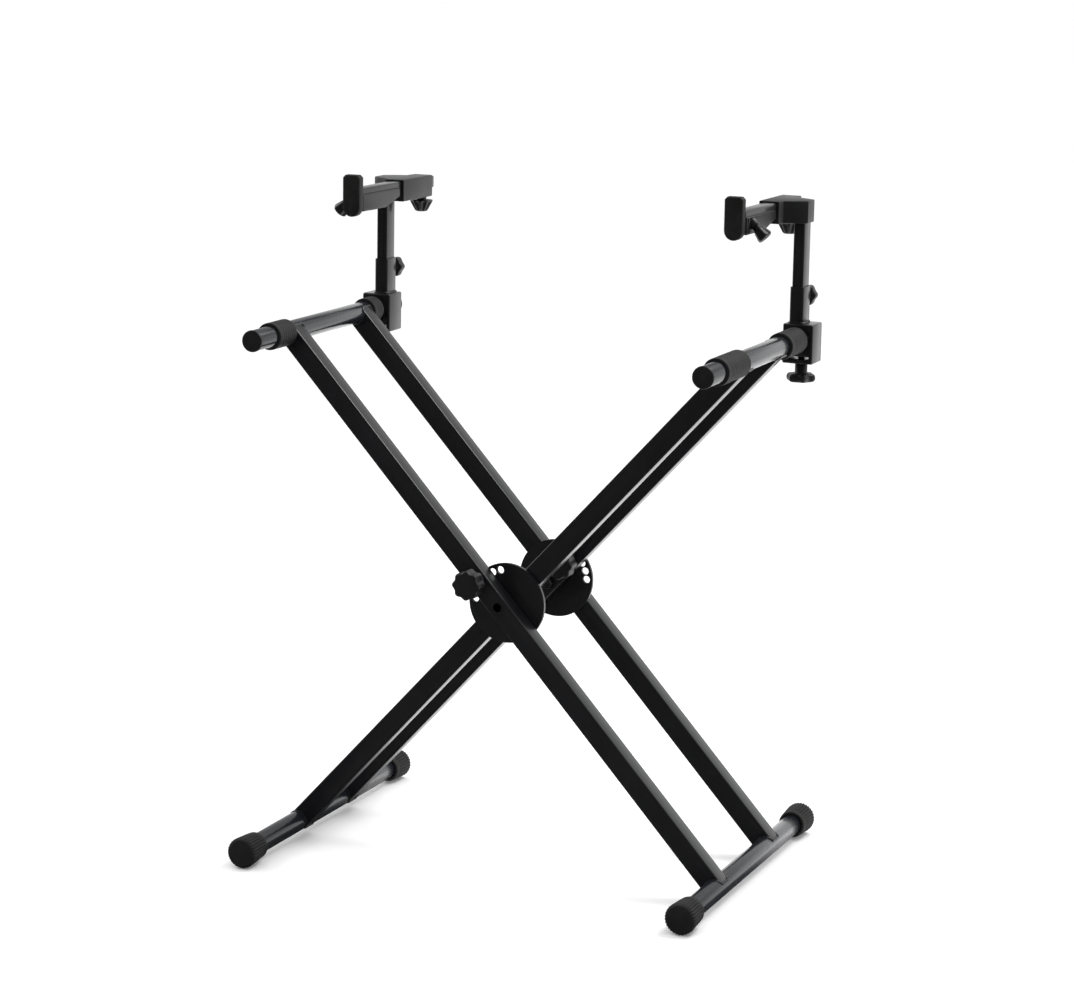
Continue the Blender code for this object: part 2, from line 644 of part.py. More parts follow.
def make_shelf_arm(tag, x, parent, look):
    """The rectangular tube that the upper keyboard rests on."""
    outline = rounded_rectangle(SHELF_WIDTH, SHELF_HEIGHT, 0.0025)
    bore = rounded_rectangle(SHELF_WIDTH - 2 * UPRIGHT_WALL, SHELF_HEIGHT - 2 * UPRIGHT_WALL, 0.001)
    shape = extruded(outline, 0, SHELF_REAR - SHELF_FRONT, bore)
    middle = SHELF_TOP - SHELF_HEIGHT / 2
    add_piece(f"{tag}_shelf_arm", shape, look, parent, (x, SHELF_FRONT, middle), REARWARD)


def make_front_stop(tag, side, parent, looks):
    """The carriage under the shelf arm's front, its round boss and the rubber peg that holds the keyboard."""
    side_view = [
        (STOP_FRONT, STOP_BOTTOM + 0.004),
        (STOP_FRONT + 0.004, STOP_BOTTOM),
        (0.088, STOP_BOTTOM),
        (STOP_REAR, STOP_BOTTOM + 0.012),
        (STOP_REAR, STOP_CHEEK_TOP - 0.004),
        (STOP_REAR - 0.004, STOP_CHEEK_TOP),
        (STOP_FRONT, STOP_CHEEK_TOP),
    ]
    shape = beveled(extruded(side_view, -STOP_WIDTH / 2, STOP_WIDTH / 2), 0.002, is_rim, 2)
    # Takes (Y, Z, X) to (X, Y, Z): the side view stands up and its thickness lies along X
    stand_up = Matrix(((0, 0, 1, 0), (1, 0, 0, 0), (0, 1, 0, 0), (0, 0, 0, 1)))
    bmesh.ops.transform(shape, matrix=stand_up, verts=shape.verts)
    carriage = add_piece(f"{tag}_front_stop", shape, looks["plastic"], parent, (side * SHELF_X, 0, 0))
    ring = beveled(cylinder(0.014, 0.025), 0.002, is_rim)
    join_on(carriage, laid(ring, (0, 0.0675, 0.938), REARWARD), "round_boss")
    screw_at = Vector((side * STOP_SCREW_X, STOP_SCREW_Y, STOP_SCREW_Z))
    slope = (0, side * STOP_SCREW_SLOPE, 0)
    join_on(carriage, laid(extruded(circle(0.007, 24), 0, 0.010), screw_at, slope), "knob_boss")
    # The channel is open at the top and starts just in front of the arm
    channel_at = (0, SHELF_FRONT - 0.0004 + 0.15, SHELF_TOP - SHELF_HEIGHT - GAP + 0.05)
    cut(carriage, box(SHELF_WIDTH + 2 * GAP, 0.3, 0.1, channel_at), "arm_channel")
    cut(carriage, laid(extruded(circle(SCREW_RADIUS + GAP, 20), 0.002, 0.02), screw_at, slope), "screw_hole")
    foot = (0, PEG_BOTTOM + PEG_WIDTH / 2)
    chamfer = 0.004
    outline = arc(foot, PEG_WIDTH / 2, math.pi, 2 * math.pi, 14)
    outline += [
        (PEG_WIDTH / 2, PEG_TOP - chamfer),
        (PEG_WIDTH / 2 - chamfer, PEG_TOP),
        (chamfer - PEG_WIDTH / 2, PEG_TOP),
        (-PEG_WIDTH / 2, PEG_TOP - chamfer),
    ]
    peg = beveled(extruded(outline, 0, PEG_DEPTH), 0.002, is_rim, 2)
    peg_at = (side * (SHELF_X - PEG_OFFSET), STOP_FRONT - GAP, 0)
    add_piece(f"{tag}_stop_peg", peg, looks["rubber"], parent, peg_at, FORWARD)


def make_stop_knob(tag, side, parent, look):
    """The small tapered knob that clamps the front stop, on an axis that slopes down and out."""
    levels = [
        (SCREW_RADIUS, 0.003, 0.0),
        (SCREW_RADIUS, 0.0103, 0.0),
        (0.006, 0.0103, 0.0),
        (0.006, 0.0155, 0.0),
        (0.0085, 0.017, 0.0012),
        (0.0115, 0.029, 0.002),
        (0.0105, 0.032, 0.0015),
    ]
    start = (side * (SHELF_X + STOP_SCREW_X), STOP_SCREW_Y, STOP_SCREW_Z)
    slope = (0, side * STOP_SCREW_SLOPE, 0)
    add_piece(f"{tag}_stop_knob", fluted(levels, 6, 3), look, parent, start, slope)


def make_tier(side, tag, frame_axis, looks):
    """Everything of the second tier on one side, each group under the empty of its own joint."""
    arm_x = side * FRAME_X
    x = side * UPRIGHT_X
    shelf_x = side * SHELF_X
    slide = axis_empty(f"{tag}_clamp_slide_axis", (arm_x, UPRIGHT_Y, ARM_Z), frame_axis)
    swing = axis_empty(f"{tag}_clamp_swing_axis", (arm_x, UPRIGHT_Y, ARM_Z), slide)
    make_clamp(tag, arm_x, slide, swing, looks)
    knob_axis = axis_empty(f"{tag}_clamp_knob_axis", (arm_x, UPRIGHT_Y, ARM_Z), swing)
    make_clamp_knob(tag, arm_x, knob_axis, looks["plastic"])
    height = axis_empty(f"{tag}_height_axis", (x, UPRIGHT_Y, OUTER_UPRIGHT_TOP), swing)
    make_uprights(tag, x, swing, height, looks)
    height_knob = axis_empty(f"{tag}_height_knob_axis", (x, UPRIGHT_Y, HEIGHT_KNOB_Z), swing)
    make_height_knob(tag, x, height_knob, looks["plastic"])
    make_head(tag, side, height, looks["plastic"])
    rear_knob_at = (shelf_x, UPRIGHT_Y + REAR_KNOB_OFFSET, HEAD_BOTTOM)
    rear_knob = axis_empty(f"{tag}_rear_knob_axis", rear_knob_at, height)
    make_rear_knob(tag, shelf_x, rear_knob, looks["plastic"])
    shelf = axis_empty(f"{tag}_shelf_axis", (shelf_x, SHELF_FRONT, SHELF_TOP - SHELF_HEIGHT / 2), height)
    make_shelf_arm(tag, shelf_x, shelf, looks["frame"])
    stop = axis_empty(f"{tag}_front_stop_axis", (shelf_x, STOP_FRONT, SHELF_TOP - SHELF_HEIGHT), shelf)
    make_front_stop(tag, side, stop, looks)
    stop_knob = axis_empty(f"{tag}_stop_knob_axis", (shelf_x, STOP_SCREW_Y, STOP_SCREW_Z), stop)
    make_stop_knob(tag, side, stop_knob, looks["plastic"])


def main():
    clear_scene()
    looks = {
        "frame": material("black_painted_tube", (0.012, 0.012, 0.014), 0.42, 0.0),
        "tube": material("slate_painted_round_tube", (0.030, 0.032, 0.037), 0.34, 0.0),
        "rubber": material("black_rubber", (0.011, 0.010, 0.0095), 0.78, 0.0),
        "plastic": material("black_moulded_plastic", (0.010, 0.010, 0.011), 0.45, 0.0),
        "steel": material("blackened_steel", (0.045, 0.045, 0.048), 0.38, 0.9),
    }
    outer = axis_empty("outer_frame_axis", PIVOT)
    fold = axis_empty("fold_axis", PIVOT, outer)
    make_frame(1, "outer", OUTER_LEG_Y, -LEG_LEAN, outer, looks)
    make_frame(-1, "inner", INNER_LEG_Y, LEG_LEAN, fold, looks)
    inner_face = INNER_LEG_Y + LEG_SIZE / 2 + GAP
    make_lock_disc("front_lock_disc", -inner_face - DISC_THICKNESS, False, fold, looks["frame"])
    outer_face = OUTER_LEG_Y - LEG_SIZE / 2 - GAP
    make_lock_disc("rear_lock_disc", outer_face - DISC_THICKNESS, True, outer, looks["frame"])
    make_pivot("front", -1, outer, looks)
    make_pivot("rear", 1, outer, looks)
    front_knob = axis_empty("front_lock_axis", PIVOT, outer)
    make_lock("front", -OUTER_LEG_Y - LEG_SIZE / 2, -1, outer, front_knob, looks)
    rear_knob = axis_empty("rear_lock_axis", PIVOT, fold)
    make_lock("rear", INNER_LEG_Y - LEG_SIZE / 2, 1, fold, rear_knob, looks)
    make_tier(-1, "left", outer, looks)
    make_tier(1, "right", fold, looks)


main()
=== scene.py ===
"""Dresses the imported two-tier keyboard stand with finer forms, weld beads and finishes."""

import json
import math

import bmesh
import bpy
from mathutils import Matrix, Vector

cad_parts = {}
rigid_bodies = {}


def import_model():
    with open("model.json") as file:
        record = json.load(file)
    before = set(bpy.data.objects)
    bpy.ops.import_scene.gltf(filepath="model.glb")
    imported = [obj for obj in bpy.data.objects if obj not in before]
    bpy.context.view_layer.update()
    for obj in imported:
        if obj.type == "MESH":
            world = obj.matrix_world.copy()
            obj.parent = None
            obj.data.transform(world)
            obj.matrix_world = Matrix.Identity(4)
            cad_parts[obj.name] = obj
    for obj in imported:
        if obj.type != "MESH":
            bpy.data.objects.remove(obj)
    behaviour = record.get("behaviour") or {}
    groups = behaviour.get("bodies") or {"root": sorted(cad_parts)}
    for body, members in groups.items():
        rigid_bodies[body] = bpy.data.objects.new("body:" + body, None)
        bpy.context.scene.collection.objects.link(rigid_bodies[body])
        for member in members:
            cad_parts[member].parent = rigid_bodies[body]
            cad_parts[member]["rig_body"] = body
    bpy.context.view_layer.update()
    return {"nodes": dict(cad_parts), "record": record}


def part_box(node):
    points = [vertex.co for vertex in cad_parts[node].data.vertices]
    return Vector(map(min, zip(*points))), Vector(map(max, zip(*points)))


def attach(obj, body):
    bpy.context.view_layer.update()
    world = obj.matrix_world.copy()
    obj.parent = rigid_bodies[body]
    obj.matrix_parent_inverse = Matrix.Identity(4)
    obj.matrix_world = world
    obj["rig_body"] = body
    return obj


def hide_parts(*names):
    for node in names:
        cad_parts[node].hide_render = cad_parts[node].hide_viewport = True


bl_info = {
    "name": "Two-Tier Keyboard Stand",
    "version": (1, 0, 0),
    "blender": (4, 5, 0),
    "location": "3D View > Sidebar > Stand",
    "description": "Finishes the frames, locks and second tier of a folding keyboard stand",
    "category": "Object",
}

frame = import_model()
NODES = frame["nodes"]
SIDES = {"left": -1, "right": 1}
ENDS = ("front", "rear")
UP = Vector((0, 0, 1))
REARWARD = Vector((0, 1, 0))


def middle(node):
    low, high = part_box(node)
    return (low + high) / 2


def size(node):
    low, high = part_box(node)
    return high - low


def body_of(node):
    return NODES[node]["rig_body"]


PIVOT = middle("front_lock_disc")
PIVOT.y = 0.0
LEG_ANGLE = math.atan2(middle("right_support_arm").z - PIVOT.z, middle("right_support_arm").x)
LEG_HALF = (middle("right_support_arm") - PIVOT).xz.length
TUBE_RADIUS = size("right_support_arm").x / 2

# Sizes of the CAD pieces that their boxes don't give
CLEARANCE = 0.0003
COPE_GAP = 0.0001
BOLT_RADIUS = 0.005
BUSH_RADIUS = 0.008
BOLT_ACCESS_RADIUS = 0.0085
UPRIGHT_CORNER = 0.004
SHELF_ARM_CORNER = 0.0025
ARM_CAP_HEAD = 0.0042
CLAMP_SCREW_RADIUS = 0.005
KNOB_SCREW_RADIUS = 0.004
SADDLE_DROP = 0.0358
STOP_SCREW = Vector((0.3075, 0.031, 0.9455))
LOCK_OF_LEG = {"outer_leg_front": "front", "inner_leg_rear": "rear"}

# How far the middle of a weld bead stands off the metal, as a share of the bead's radius
BEAD_OFF = 0.3
BEAD_OFF_DISC = 0.4

# Copies of CAD meshes: how near two vertices are merged, and how flat a face counts as one
MERGE_DISTANCE = 2e-6
FLAT_ANGLE = math.radians(0.6)

# Degrees between faces that count as an edge: on faceted pieces, and on tubes and plates
FACET_SHARP = 30
TUBE_SHARP = 60

# Depths of the bump in the finishes, and how rough the clear coat and the noise are
PAINT_PEEL = 0.00020
RUBBER_GRAIN = 0.00018
PLASTIC_GRAIN = 0.00012
STEEL_MARKS = 0.00006
CLEAR_ROUGHNESS = 0.12
NOISE_ROUGHNESS = 0.55


def length_property(label, text, default):
    return bpy.props.FloatProperty(name=label, description=text, default=default, unit="LENGTH")


def angle_property(label, text, default):
    return bpy.props.FloatProperty(name=label, description=text, default=default, subtype="ANGLE")


def count_property(label, text, default):
    return bpy.props.IntProperty(name=label, description=text, default=default)


def colour_property(label, default):
    return bpy.props.FloatVectorProperty(
        name=label,
        description=f"Colour of the {label.lower()}",
        subtype="COLOR",
        default=default,
        min=0,
        max=1,
    )


class StandSizes(bpy.types.PropertyGroup):
    """Sizes of the finishing pieces."""

    leg_wall: length_property("Leg Wall", "Wall of the square legs", 0.0015)
    leg_corner: length_property("Leg Corner", "Outer corner radius of the square legs", 0.003)
    tube_wall: length_property("Tube Wall", "Wall of the round tubes", 0.002)
    weld_bead: length_property("Weld Bead", "Radius of the weld beads", 0.0017)
    weld_step: length_property("Weld Ripple", "Length of one ripple of a weld", 0.0024)
    cap_mouth: length_property("Foot Cap Mouth", "Radius of a foot cap at its mouth", 0.020)
    cap_ribs: count_property("Foot Cap Ribs", "Ribs round each foot cap", 30)
    rib_depth: length_property("Rib Depth", "Depth of the valleys between the ribs", 0.0017)
    leg_edge: length_property("Leg Edge", "Softening of the cut edges of the legs", 0.0004)
    hole_radius: length_property("Lock Hole Radius", "Radius of the lock discs' holes", 0.0055)
    hole_circle: length_property("Hole Circle", "Radius of the arc of lock holes", 0.0485)
    hole_pitch: angle_property("Hole Pitch", "Angle between lock holes", math.radians(15))
    first_hole: angle_property(
        "First Hole", "Angle from the disc's leg to its first hole", math.radians(54.5)
    )
    holes: count_property("Lock Holes", "Holes in each lock disc", 6)


class StandColours(bpy.types.PropertyGroup):
    """Colours of the finishes, linear."""

    frame_paint: colour_property("Leg Paint", (0.0050, 0.0050, 0.0062))
    tube_paint: colour_property("Tube Paint", (0.0105, 0.0118, 0.0165))
    rubber: colour_property("Rubber", (0.0062, 0.0058, 0.0056))
    plastic: colour_property("Moulded Plastic", (0.0060, 0.0060, 0.0068))
    steel: colour_property("Blackened Steel", (0.060, 0.060, 0.064))
    backdrop: colour_property("Backdrop", (1.0, 1.0, 1.0))


class Socket:
    """One output socket or number, with the arithmetic that the finishes use."""

    def __init__(self, tree, source):
        self.tree = tree
        self.source = source

    def math(self, operation, *others, clamp=False):
        values = [self.source]
        for other in others:
            values.append(other.source if isinstance(other, Socket) else other)
        settings = {"operation": operation, "use_clamp": clamp}
        return self.tree.add("ShaderNodeMath", settings, dict(enumerate(values)))

    def __add__(self, other):
        return self.math("ADD", other)

    def __sub__(self, other):
        return self.math("SUBTRACT", other)

    def __mul__(self, other):
        return self.math("MULTIPLY", other)

    def __rsub__(self, other):
        return Socket(self.tree, other).math("SUBTRACT", self)

    __radd__ = __add__
    __rmul__ = __mul__

    def clamped(self):
        return self.math("ADD", 0.0, clamp=True)


class Tree:
    """A node tree and the means to fill it."""

    def __init__(self, owner):
        owner.use_nodes = True
        self.nodes = owner.node_tree.nodes
        self.links = owner.node_tree.links

    def add(self, kind, settings=None, inputs=None, output=0):
        """Any node from its type, its settings and the values or links of its sockets."""
        node = self.nodes.new(kind)
        for key, value in (settings or {}).items():
            setattr(node, key, value)
        for key, value in (inputs or {}).items():
            self.feed(node.inputs[key], value)
        return Socket(self, node.outputs[output])

    def feed(self, socket, value):
        if isinstance(value, Socket):
            value = value.source
        if isinstance(value, bpy.types.NodeSocket):
            self.links.new(value, socket)
        else:
            socket.default_value = value

    def part(self, vector, axis):
        return self.add("ShaderNodeSeparateXYZ", None, {"Vector": vector}, output=axis)

    def light_path(self, kind):
        return self.add("ShaderNodeLightPath", output=kind)

    def band(self, value, low, high):
        """0 below low, 1 above high, smooth between."""
        settings = {"interpolation_type": "SMOOTHSTEP"}
        inputs = {"Value": value, "From Min": low, "From Max": high}
        return self.add("ShaderNodeMapRange", settings, inputs)

    def mixed(self, factor, dark, light):
        # Sockets 6 and 7 are the two colours, and output 2 is their mix
        inputs = {"Factor": factor, 6: dark, 7: light}
        return self.add("ShaderNodeMix", {"data_type": "RGBA"}, inputs, output=2)


class Finish(Tree):
    """A material with one shader."""

    def __init__(self, name):
        self.material = bpy.data.materials.new(name)
        super().__init__(self.material)
        self.shader = self.nodes["Principled BSDF"]

    def place(self):
        return self.add("ShaderNodeTexCoord", output="Object")

    def attribute(self, name):
        return self.add("ShaderNodeAttribute", {"attribute_name": name}, output="Fac")

    def noise(self, scale, detail, stretch=None):
        place = self.place()
        if stretch:
            place = self.add("ShaderNodeMapping", None, {"Vector": place, "Scale": stretch})
        inputs = {"Vector": place, "Scale": scale, "Detail": detail, "Roughness": NOISE_ROUGHNESS}
        return self.add("ShaderNodeTexNoise", None, inputs)

    def grain(self, scale):
        inputs = {"Vector": self.place(), "Scale": scale}
        return self.add("ShaderNodeTexVoronoi", {"feature": "SMOOTH_F1"}, inputs)

    def bump(self, height, distance, strength):
        inputs = {"Height": height, "Distance": distance, "Strength": strength}
        return self.add("ShaderNodeBump", None, inputs)

    def finish(self, **inputs):
        for key, value in inputs.items():
            self.feed(self.shader.inputs[key.replace("_", " ")], value)
        return self.material


def scaled(colour, factor):
    return (*[min(1.0, part * factor) for part in colour[:3]], 1.0)


def paint(name, colour, gloss, streak, clear):
    """Satin powder coat: orange peel, faint rubs along the tube, and pale, smooth worn edges."""
    coat = Finish(name)
    cloud = coat.noise(9.0, 4.0)
    rub = coat.noise(60.0, 4.0, streak)
    mottle = coat.noise(380.0, 2.0)
    peel = coat.noise(900.0, 2.0)
    fine = coat.noise(2600.0, 1.0)
    worn = (coat.attribute("edge_wear") * coat.band(coat.noise(120.0, 4.0), 0.42, 0.62)).clamped()
    scuff = coat.band(rub, 0.62, 0.74) * 0.35
    base = coat.mixed(coat.band(cloud, 0.35, 0.68), scaled(colour, 0.86), scaled(colour, 1.18))
    base = coat.mixed((worn * 0.75 + scuff * 0.5).clamped(), base, scaled(colour, 3.4))
    roughness = cloud * 0.10 + rub * 0.10 + (gloss - 0.10) - worn * 0.08
    height = mottle * 0.35 + peel * 0.45 + fine * 0.20
    normal = coat.bump(height, PAINT_PEEL, 0.45)
    return coat.finish(
        Base_Color=base,
        Roughness=roughness,
        Coat_Weight=clear,
        Coat_Roughness=CLEAR_ROUGHNESS,
        Normal=normal,
    )


def rubber_finish(colour):
    """Matte rubber with a fine grain and pale dust that keeps to the high places."""
    skin = Finish("matte_rubber")
    cloud = skin.noise(22.0, 4.0)
    speck = skin.noise(1400.0, 2.0)
    dust = skin.band(skin.noise(70.0, 5.0), 0.50, 0.78) * 0.45
    wear = skin.attribute("edge_wear") * 0.35
    base = skin.mixed(skin.band(cloud, 0.3, 0.7), scaled(colour, 0.8), scaled(colour, 1.25))
    base = skin.mixed((dust + wear).clamped(), base, scaled(colour, 2.6))
    roughness = cloud * 0.14 + speck * 0.08 + 0.58
    normal = skin.bump(speck * 0.7 + cloud * 0.3, RUBBER_GRAIN, 0.5)
    return skin.finish(Base_Color=base, Roughness=roughness, Normal=normal)


def plastic_finish(colour):
    """Moulded plastic with a spark-eroded grain, finger-polished on its edges."""
    shell = Finish("moulded_plastic")
    grain = shell.grain(1500.0)
    cloud = shell.noise(35.0, 4.0)
    polish = shell.attribute("edge_wear")
    base = shell.mixed(shell.band(cloud, 0.35, 0.7), scaled(colour, 0.88), scaled(colour, 1.2))
    base = shell.mixed((polish * 0.4).clamped(), base, scaled(colour, 2.4))
    roughness = cloud * 0.16 + grain * 0.10 + 0.30 - polish * 0.08
    normal = shell.bump(grain, PLASTIC_GRAIN, 0.45)
    return shell.finish(Base_Color=base, Roughness=roughness, Normal=normal)


def steel_finish(colour):
    """Blackened steel: turning marks round the axis, with bright rubs on the edges."""
    metal = Finish("blackened_steel")
    cloud = metal.noise(80.0, 4.0)
    marks = metal.noise(500.0, 3.0, (1.0, 9.0, 1.0))
    worn = (metal.attribute("edge_wear") * metal.band(cloud, 0.35, 0.6)).clamped()
    base = metal.mixed(metal.band(cloud, 0.35, 0.7), scaled(colour, 0.75), scaled(colour, 1.3))
    base = metal.mixed(worn, base, scaled(colour, 5.0))
    roughness = marks * 0.18 + cloud * 0.12 + 0.22
    normal = metal.bump(marks, STEEL_MARKS, 0.5)
    return metal.finish(Base_Color=base, Roughness=roughness, Metallic=0.9, Normal=normal)


FINISHES = {}


def make_finishes(colours):
    along_arm = (6.0, 0.6, 6.0)
    FINISHES["frame"] = paint("satin_black_paint", colours.frame_paint, 0.34, None, 0.4)
    FINISHES["tube"] = paint("satin_slate_paint", colours.tube_paint, 0.26, along_arm, 0.5)
    FINISHES["rubber"] = rubber_finish(colours.rubber)
    FINISHES["plastic"] = plastic_finish(colours.plastic)
    FINISHES["steel"] = steel_finish(colours.steel)


# Forms

def of_kind(geometry, kind):
    """The vertices, edges or faces among what an operator returned."""
    return [item for item in geometry if isinstance(item, kind)]


def ring_form(levels, segments, lobes=0, crown=1.0):
    """A circle carried through levels of (radius, height, flute depth) and closed at both ends."""
    shape = bmesh.new()
    bmesh.ops.create_circle(shape, segments=segments, radius=1.0)
    ring = list(shape.edges)
    ends = []
    for step, (radius, height, depth) in enumerate(levels):
        if step:
            grown = bmesh.ops.extrude_edge_only(shape, edges=ring)["geom"]
            ring = of_kind(grown, bmesh.types.BMEdge)
        for vert in {vert for edge in ring for vert in edge.verts}:
            turn = math.atan2(vert.co.y, vert.co.x)
            valley = (0.5 - 0.5 * math.cos(lobes * turn)) ** crown
            reach = radius - depth * valley
            vert.co = (reach * math.cos(turn), reach * math.sin(turn), height)
        ends.append(ring)
    for loop in (ends[0], ends[-1]):
        bmesh.ops.edgeloop_fill(shape, edges=loop)
    bmesh.ops.recalc_face_normals(shape, faces=shape.faces)
    return shape


def spun(profile, segments):
    """A closed profile of (radius, height) points spun round Z into a ring."""
    shape = bmesh.new()
    verts = [shape.verts.new((radius, 0, height)) for radius, height in profile]
    edges = [shape.edges.new(pair) for pair in zip(verts, verts[1:] + verts[:1])]
    bmesh.ops.spin(
        shape,
        geom=verts + edges,
        cent=(0, 0, 0),
        axis=(0, 0, 1),
        angle=2 * math.pi,
        steps=segments,
        use_merge=True,
    )
    bmesh.ops.remove_doubles(shape, verts=shape.verts, dist=1e-7)
    bmesh.ops.recalc_face_normals(shape, faces=shape.faces)
    return shape


def rounded_plate(width, depth, corner):
    """A flat rectangle with round corners."""
    shape = bmesh.new()
    bmesh.ops.create_grid(shape, x_segments=1, y_segments=1, size=0.5)
    bmesh.ops.scale(shape, vec=(width, depth, 1), verts=shape.verts)
    bmesh.ops.bevel(
        shape,
        geom=list(shape.verts),
        offset=corner,
        segments=6,
        profile=0.5,
        affect="VERTICES",
        material=-1,
    )
    return shape


def square_tube(width, depth, corner, wall, length):
    """A round-cornered rectangular tube along Z, centred."""
    shape = rounded_plate(width, depth, corner)
    inner = list(shape.faces)
    bmesh.ops.inset_region(
        shape,
        faces=inner,
        thickness=wall,
        use_boundary=True,
        use_even_offset=True,
    )
    bmesh.ops.delete(shape, geom=inner, context="FACES")
    grown = bmesh.ops.extrude_face_region(shape, geom=list(shape.faces))["geom"]
    bmesh.ops.translate(shape, verts=of_kind(grown, bmesh.types.BMVert), vec=(0, 0, length))
    bmesh.ops.translate(shape, verts=shape.verts, vec=(0, 0, -length / 2))
    bmesh.ops.recalc_face_normals(shape, faces=shape.faces)
    return shape


def square_plug(width, depth, corner, thick):
    """A round-cornered plate along Z, centred, with a shallow recess in its outer face."""
    shape = rounded_plate(width, depth, corner)
    grown = bmesh.ops.extrude_face_region(shape, geom=list(shape.faces))["geom"]
    top = of_kind(grown, bmesh.types.BMFace)
    bmesh.ops.translate(shape, verts=list(top[0].verts), vec=(0, 0, thick))
    bmesh.ops.inset_region(shape, faces=top, thickness=0.0022, depth=-0.0006, use_even_offset=True)
    bmesh.ops.translate(shape, verts=shape.verts, vec=(0, 0, -thick / 2))
    bmesh.ops.recalc_face_normals(shape, faces=shape.faces)
    return shape


def rod(radius, length, segments=64):
    """A cylinder along Z, centred."""
    shape = bmesh.new()
    bmesh.ops.create_cone(
        shape,
        cap_ends=True,
        segments=segments,
        radius1=radius,
        radius2=radius,
        depth=length,
    )
    return shape


def laid(shape, at, axis):
    """Turns a form's +Z to the axis and moves it."""
    turn = UP.rotation_difference(Vector(axis)).to_matrix().to_4x4()
    bmesh.ops.transform(shape, matrix=Matrix.Translation(at) @ turn, verts=shape.verts)
    return shape


def carved(shape, cutters):
    """The form with each cutter taken out of it."""
    holder = bpy.data.objects.new("carving", bpy.data.meshes.new("carving"))
    bmesh.ops.recalc_face_normals(shape, faces=shape.faces)
    shape.to_mesh(holder.data)
    shape.free()
    bpy.context.scene.collection.objects.link(holder)
    tools = []
    for cutter in cutters:
        tool = bpy.data.objects.new("cutter", bpy.data.meshes.new("cutter"))
        bmesh.ops.recalc_face_normals(cutter, faces=cutter.faces)
        cutter.to_mesh(tool.data)
        cutter.free()
        bpy.context.scene.collection.objects.link(tool)
        modifier = holder.modifiers.new("cut", "BOOLEAN")
        modifier.object = tool
        tools.append(tool)
    evaluated = holder.evaluated_get(bpy.context.evaluated_depsgraph_get())
    result = bmesh.new()
    result.from_mesh(evaluated.to_mesh())
    evaluated.to_mesh_clear()
    for thing in [holder] + tools:
        bpy.data.objects.remove(thing)
    return result


def node_form(node):
    """A merged copy of a CAD node, with its flat faces whole."""
    shape = bmesh.new()
    shape.from_mesh(NODES[node].data)
    bmesh.ops.remove_doubles(shape, verts=shape.verts, dist=MERGE_DISTANCE)
    bmesh.ops.dissolve_limit(
        shape,
        angle_limit=FLAT_ANGLE,
        verts=shape.verts,
        edges=shape.edges,
    )
    return shape


def mark_wear(shape, amount):
    """Stores how worn each vertex is, from 0 to 1, where the finishes read it."""
    wear = shape.verts.layers.float.new("edge_wear")
    for vert in shape.verts:
        vert[wear] = amount(vert)


def softened(shape, width, sharp, segments=3):
    """Rounds edges sharper than sharp degrees and marks the middle of each rounding as worn."""
    limit = math.radians(sharp)
    edges = []
    for edge in shape.edges:
        if len(edge.link_faces) == 2 and edge.calc_face_angle(0) > limit:
            edges.append(edge)
    made = bmesh.ops.bevel(
        shape,
        geom=edges,
        offset=width,
        segments=segments,
        profile=0.5,
        affect="EDGES",
        material=-1,
        clamp_overlap=True,
    )
    rounding = set(made["faces"])
    mark_wear(shape, lambda vert: 1.0 if rounding.issuperset(vert.link_faces) else 0.0)
    return shape


def piece(name, shape, body, slot, stands_for=(), smooth=40):
    """Makes a form one finished piece that rides on a body."""
    mesh = bpy.data.meshes.new(name)
    shape.to_mesh(mesh)
    shape.free()
    mesh.shade_smooth()
    mesh.set_sharp_from_angle(angle=math.radians(smooth))
    mesh.materials.append(FINISHES[slot])
    made = bpy.data.objects.new(name, mesh)
    bpy.context.scene.collection.objects.link(made)
    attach(made, body)
    if stands_for:
        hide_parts(*stands_for)


def replace_node(node, shape, slot, smooth=40):
    piece(f"finished_{node}", shape, body_of(node), slot, (node,), smooth)


# Builders of the stand's pieces

def leg_direction(node):
    """Up the leg: the outer frame leans left, the inner one right."""
    side = -1 if node.startswith("outer") else 1
    return Vector((side * math.cos(LEG_ANGLE), 0, math.sin(LEG_ANGLE)))


def build_leg(node, sizes):
    direction = leg_direction(node)
    center = Vector((0, middle(node).y, PIVOT.z))
    width = size(node).y
    shape = square_tube(width, width, sizes.leg_corner, sizes.leg_wall, 2 * LEG_HALF)
    laid(shape, center, direction)
    cutters = []
    for end in (-1, 1):
        cope = rod(TUBE_RADIUS + COPE_GAP, 2 * width)
        cutters.append(laid(cope, center + end * direction * LEG_HALF, REARWARD))
    bolt_hole = rod(BOLT_RADIUS + CLEARANCE, 2 * width, segments=40)
    cutters.append(laid(bolt_hole, center, REARWARD))
    if node in LOCK_OF_LEG:
        spot = middle(f"{LOCK_OF_LEG[node]}_lock_bush")
        spot.y = center.y
        bush_hole = rod(BUSH_RADIUS + CLEARANCE, 2 * width, segments=48)
        cutters.append(laid(bush_hole, spot, REARWARD))
    if node.startswith("outer"):
        outside = math.copysign(width / 2, center.y)
        access = rod(BOLT_ACCESS_RADIUS, width / 2, segments=48)
        cutters.append(laid(access, center + REARWARD * outside, REARWARD))
    shape = softened(carved(shape, cutters), sizes.leg_edge, sharp=50, segments=2)
    replace_node(node, shape, "frame")


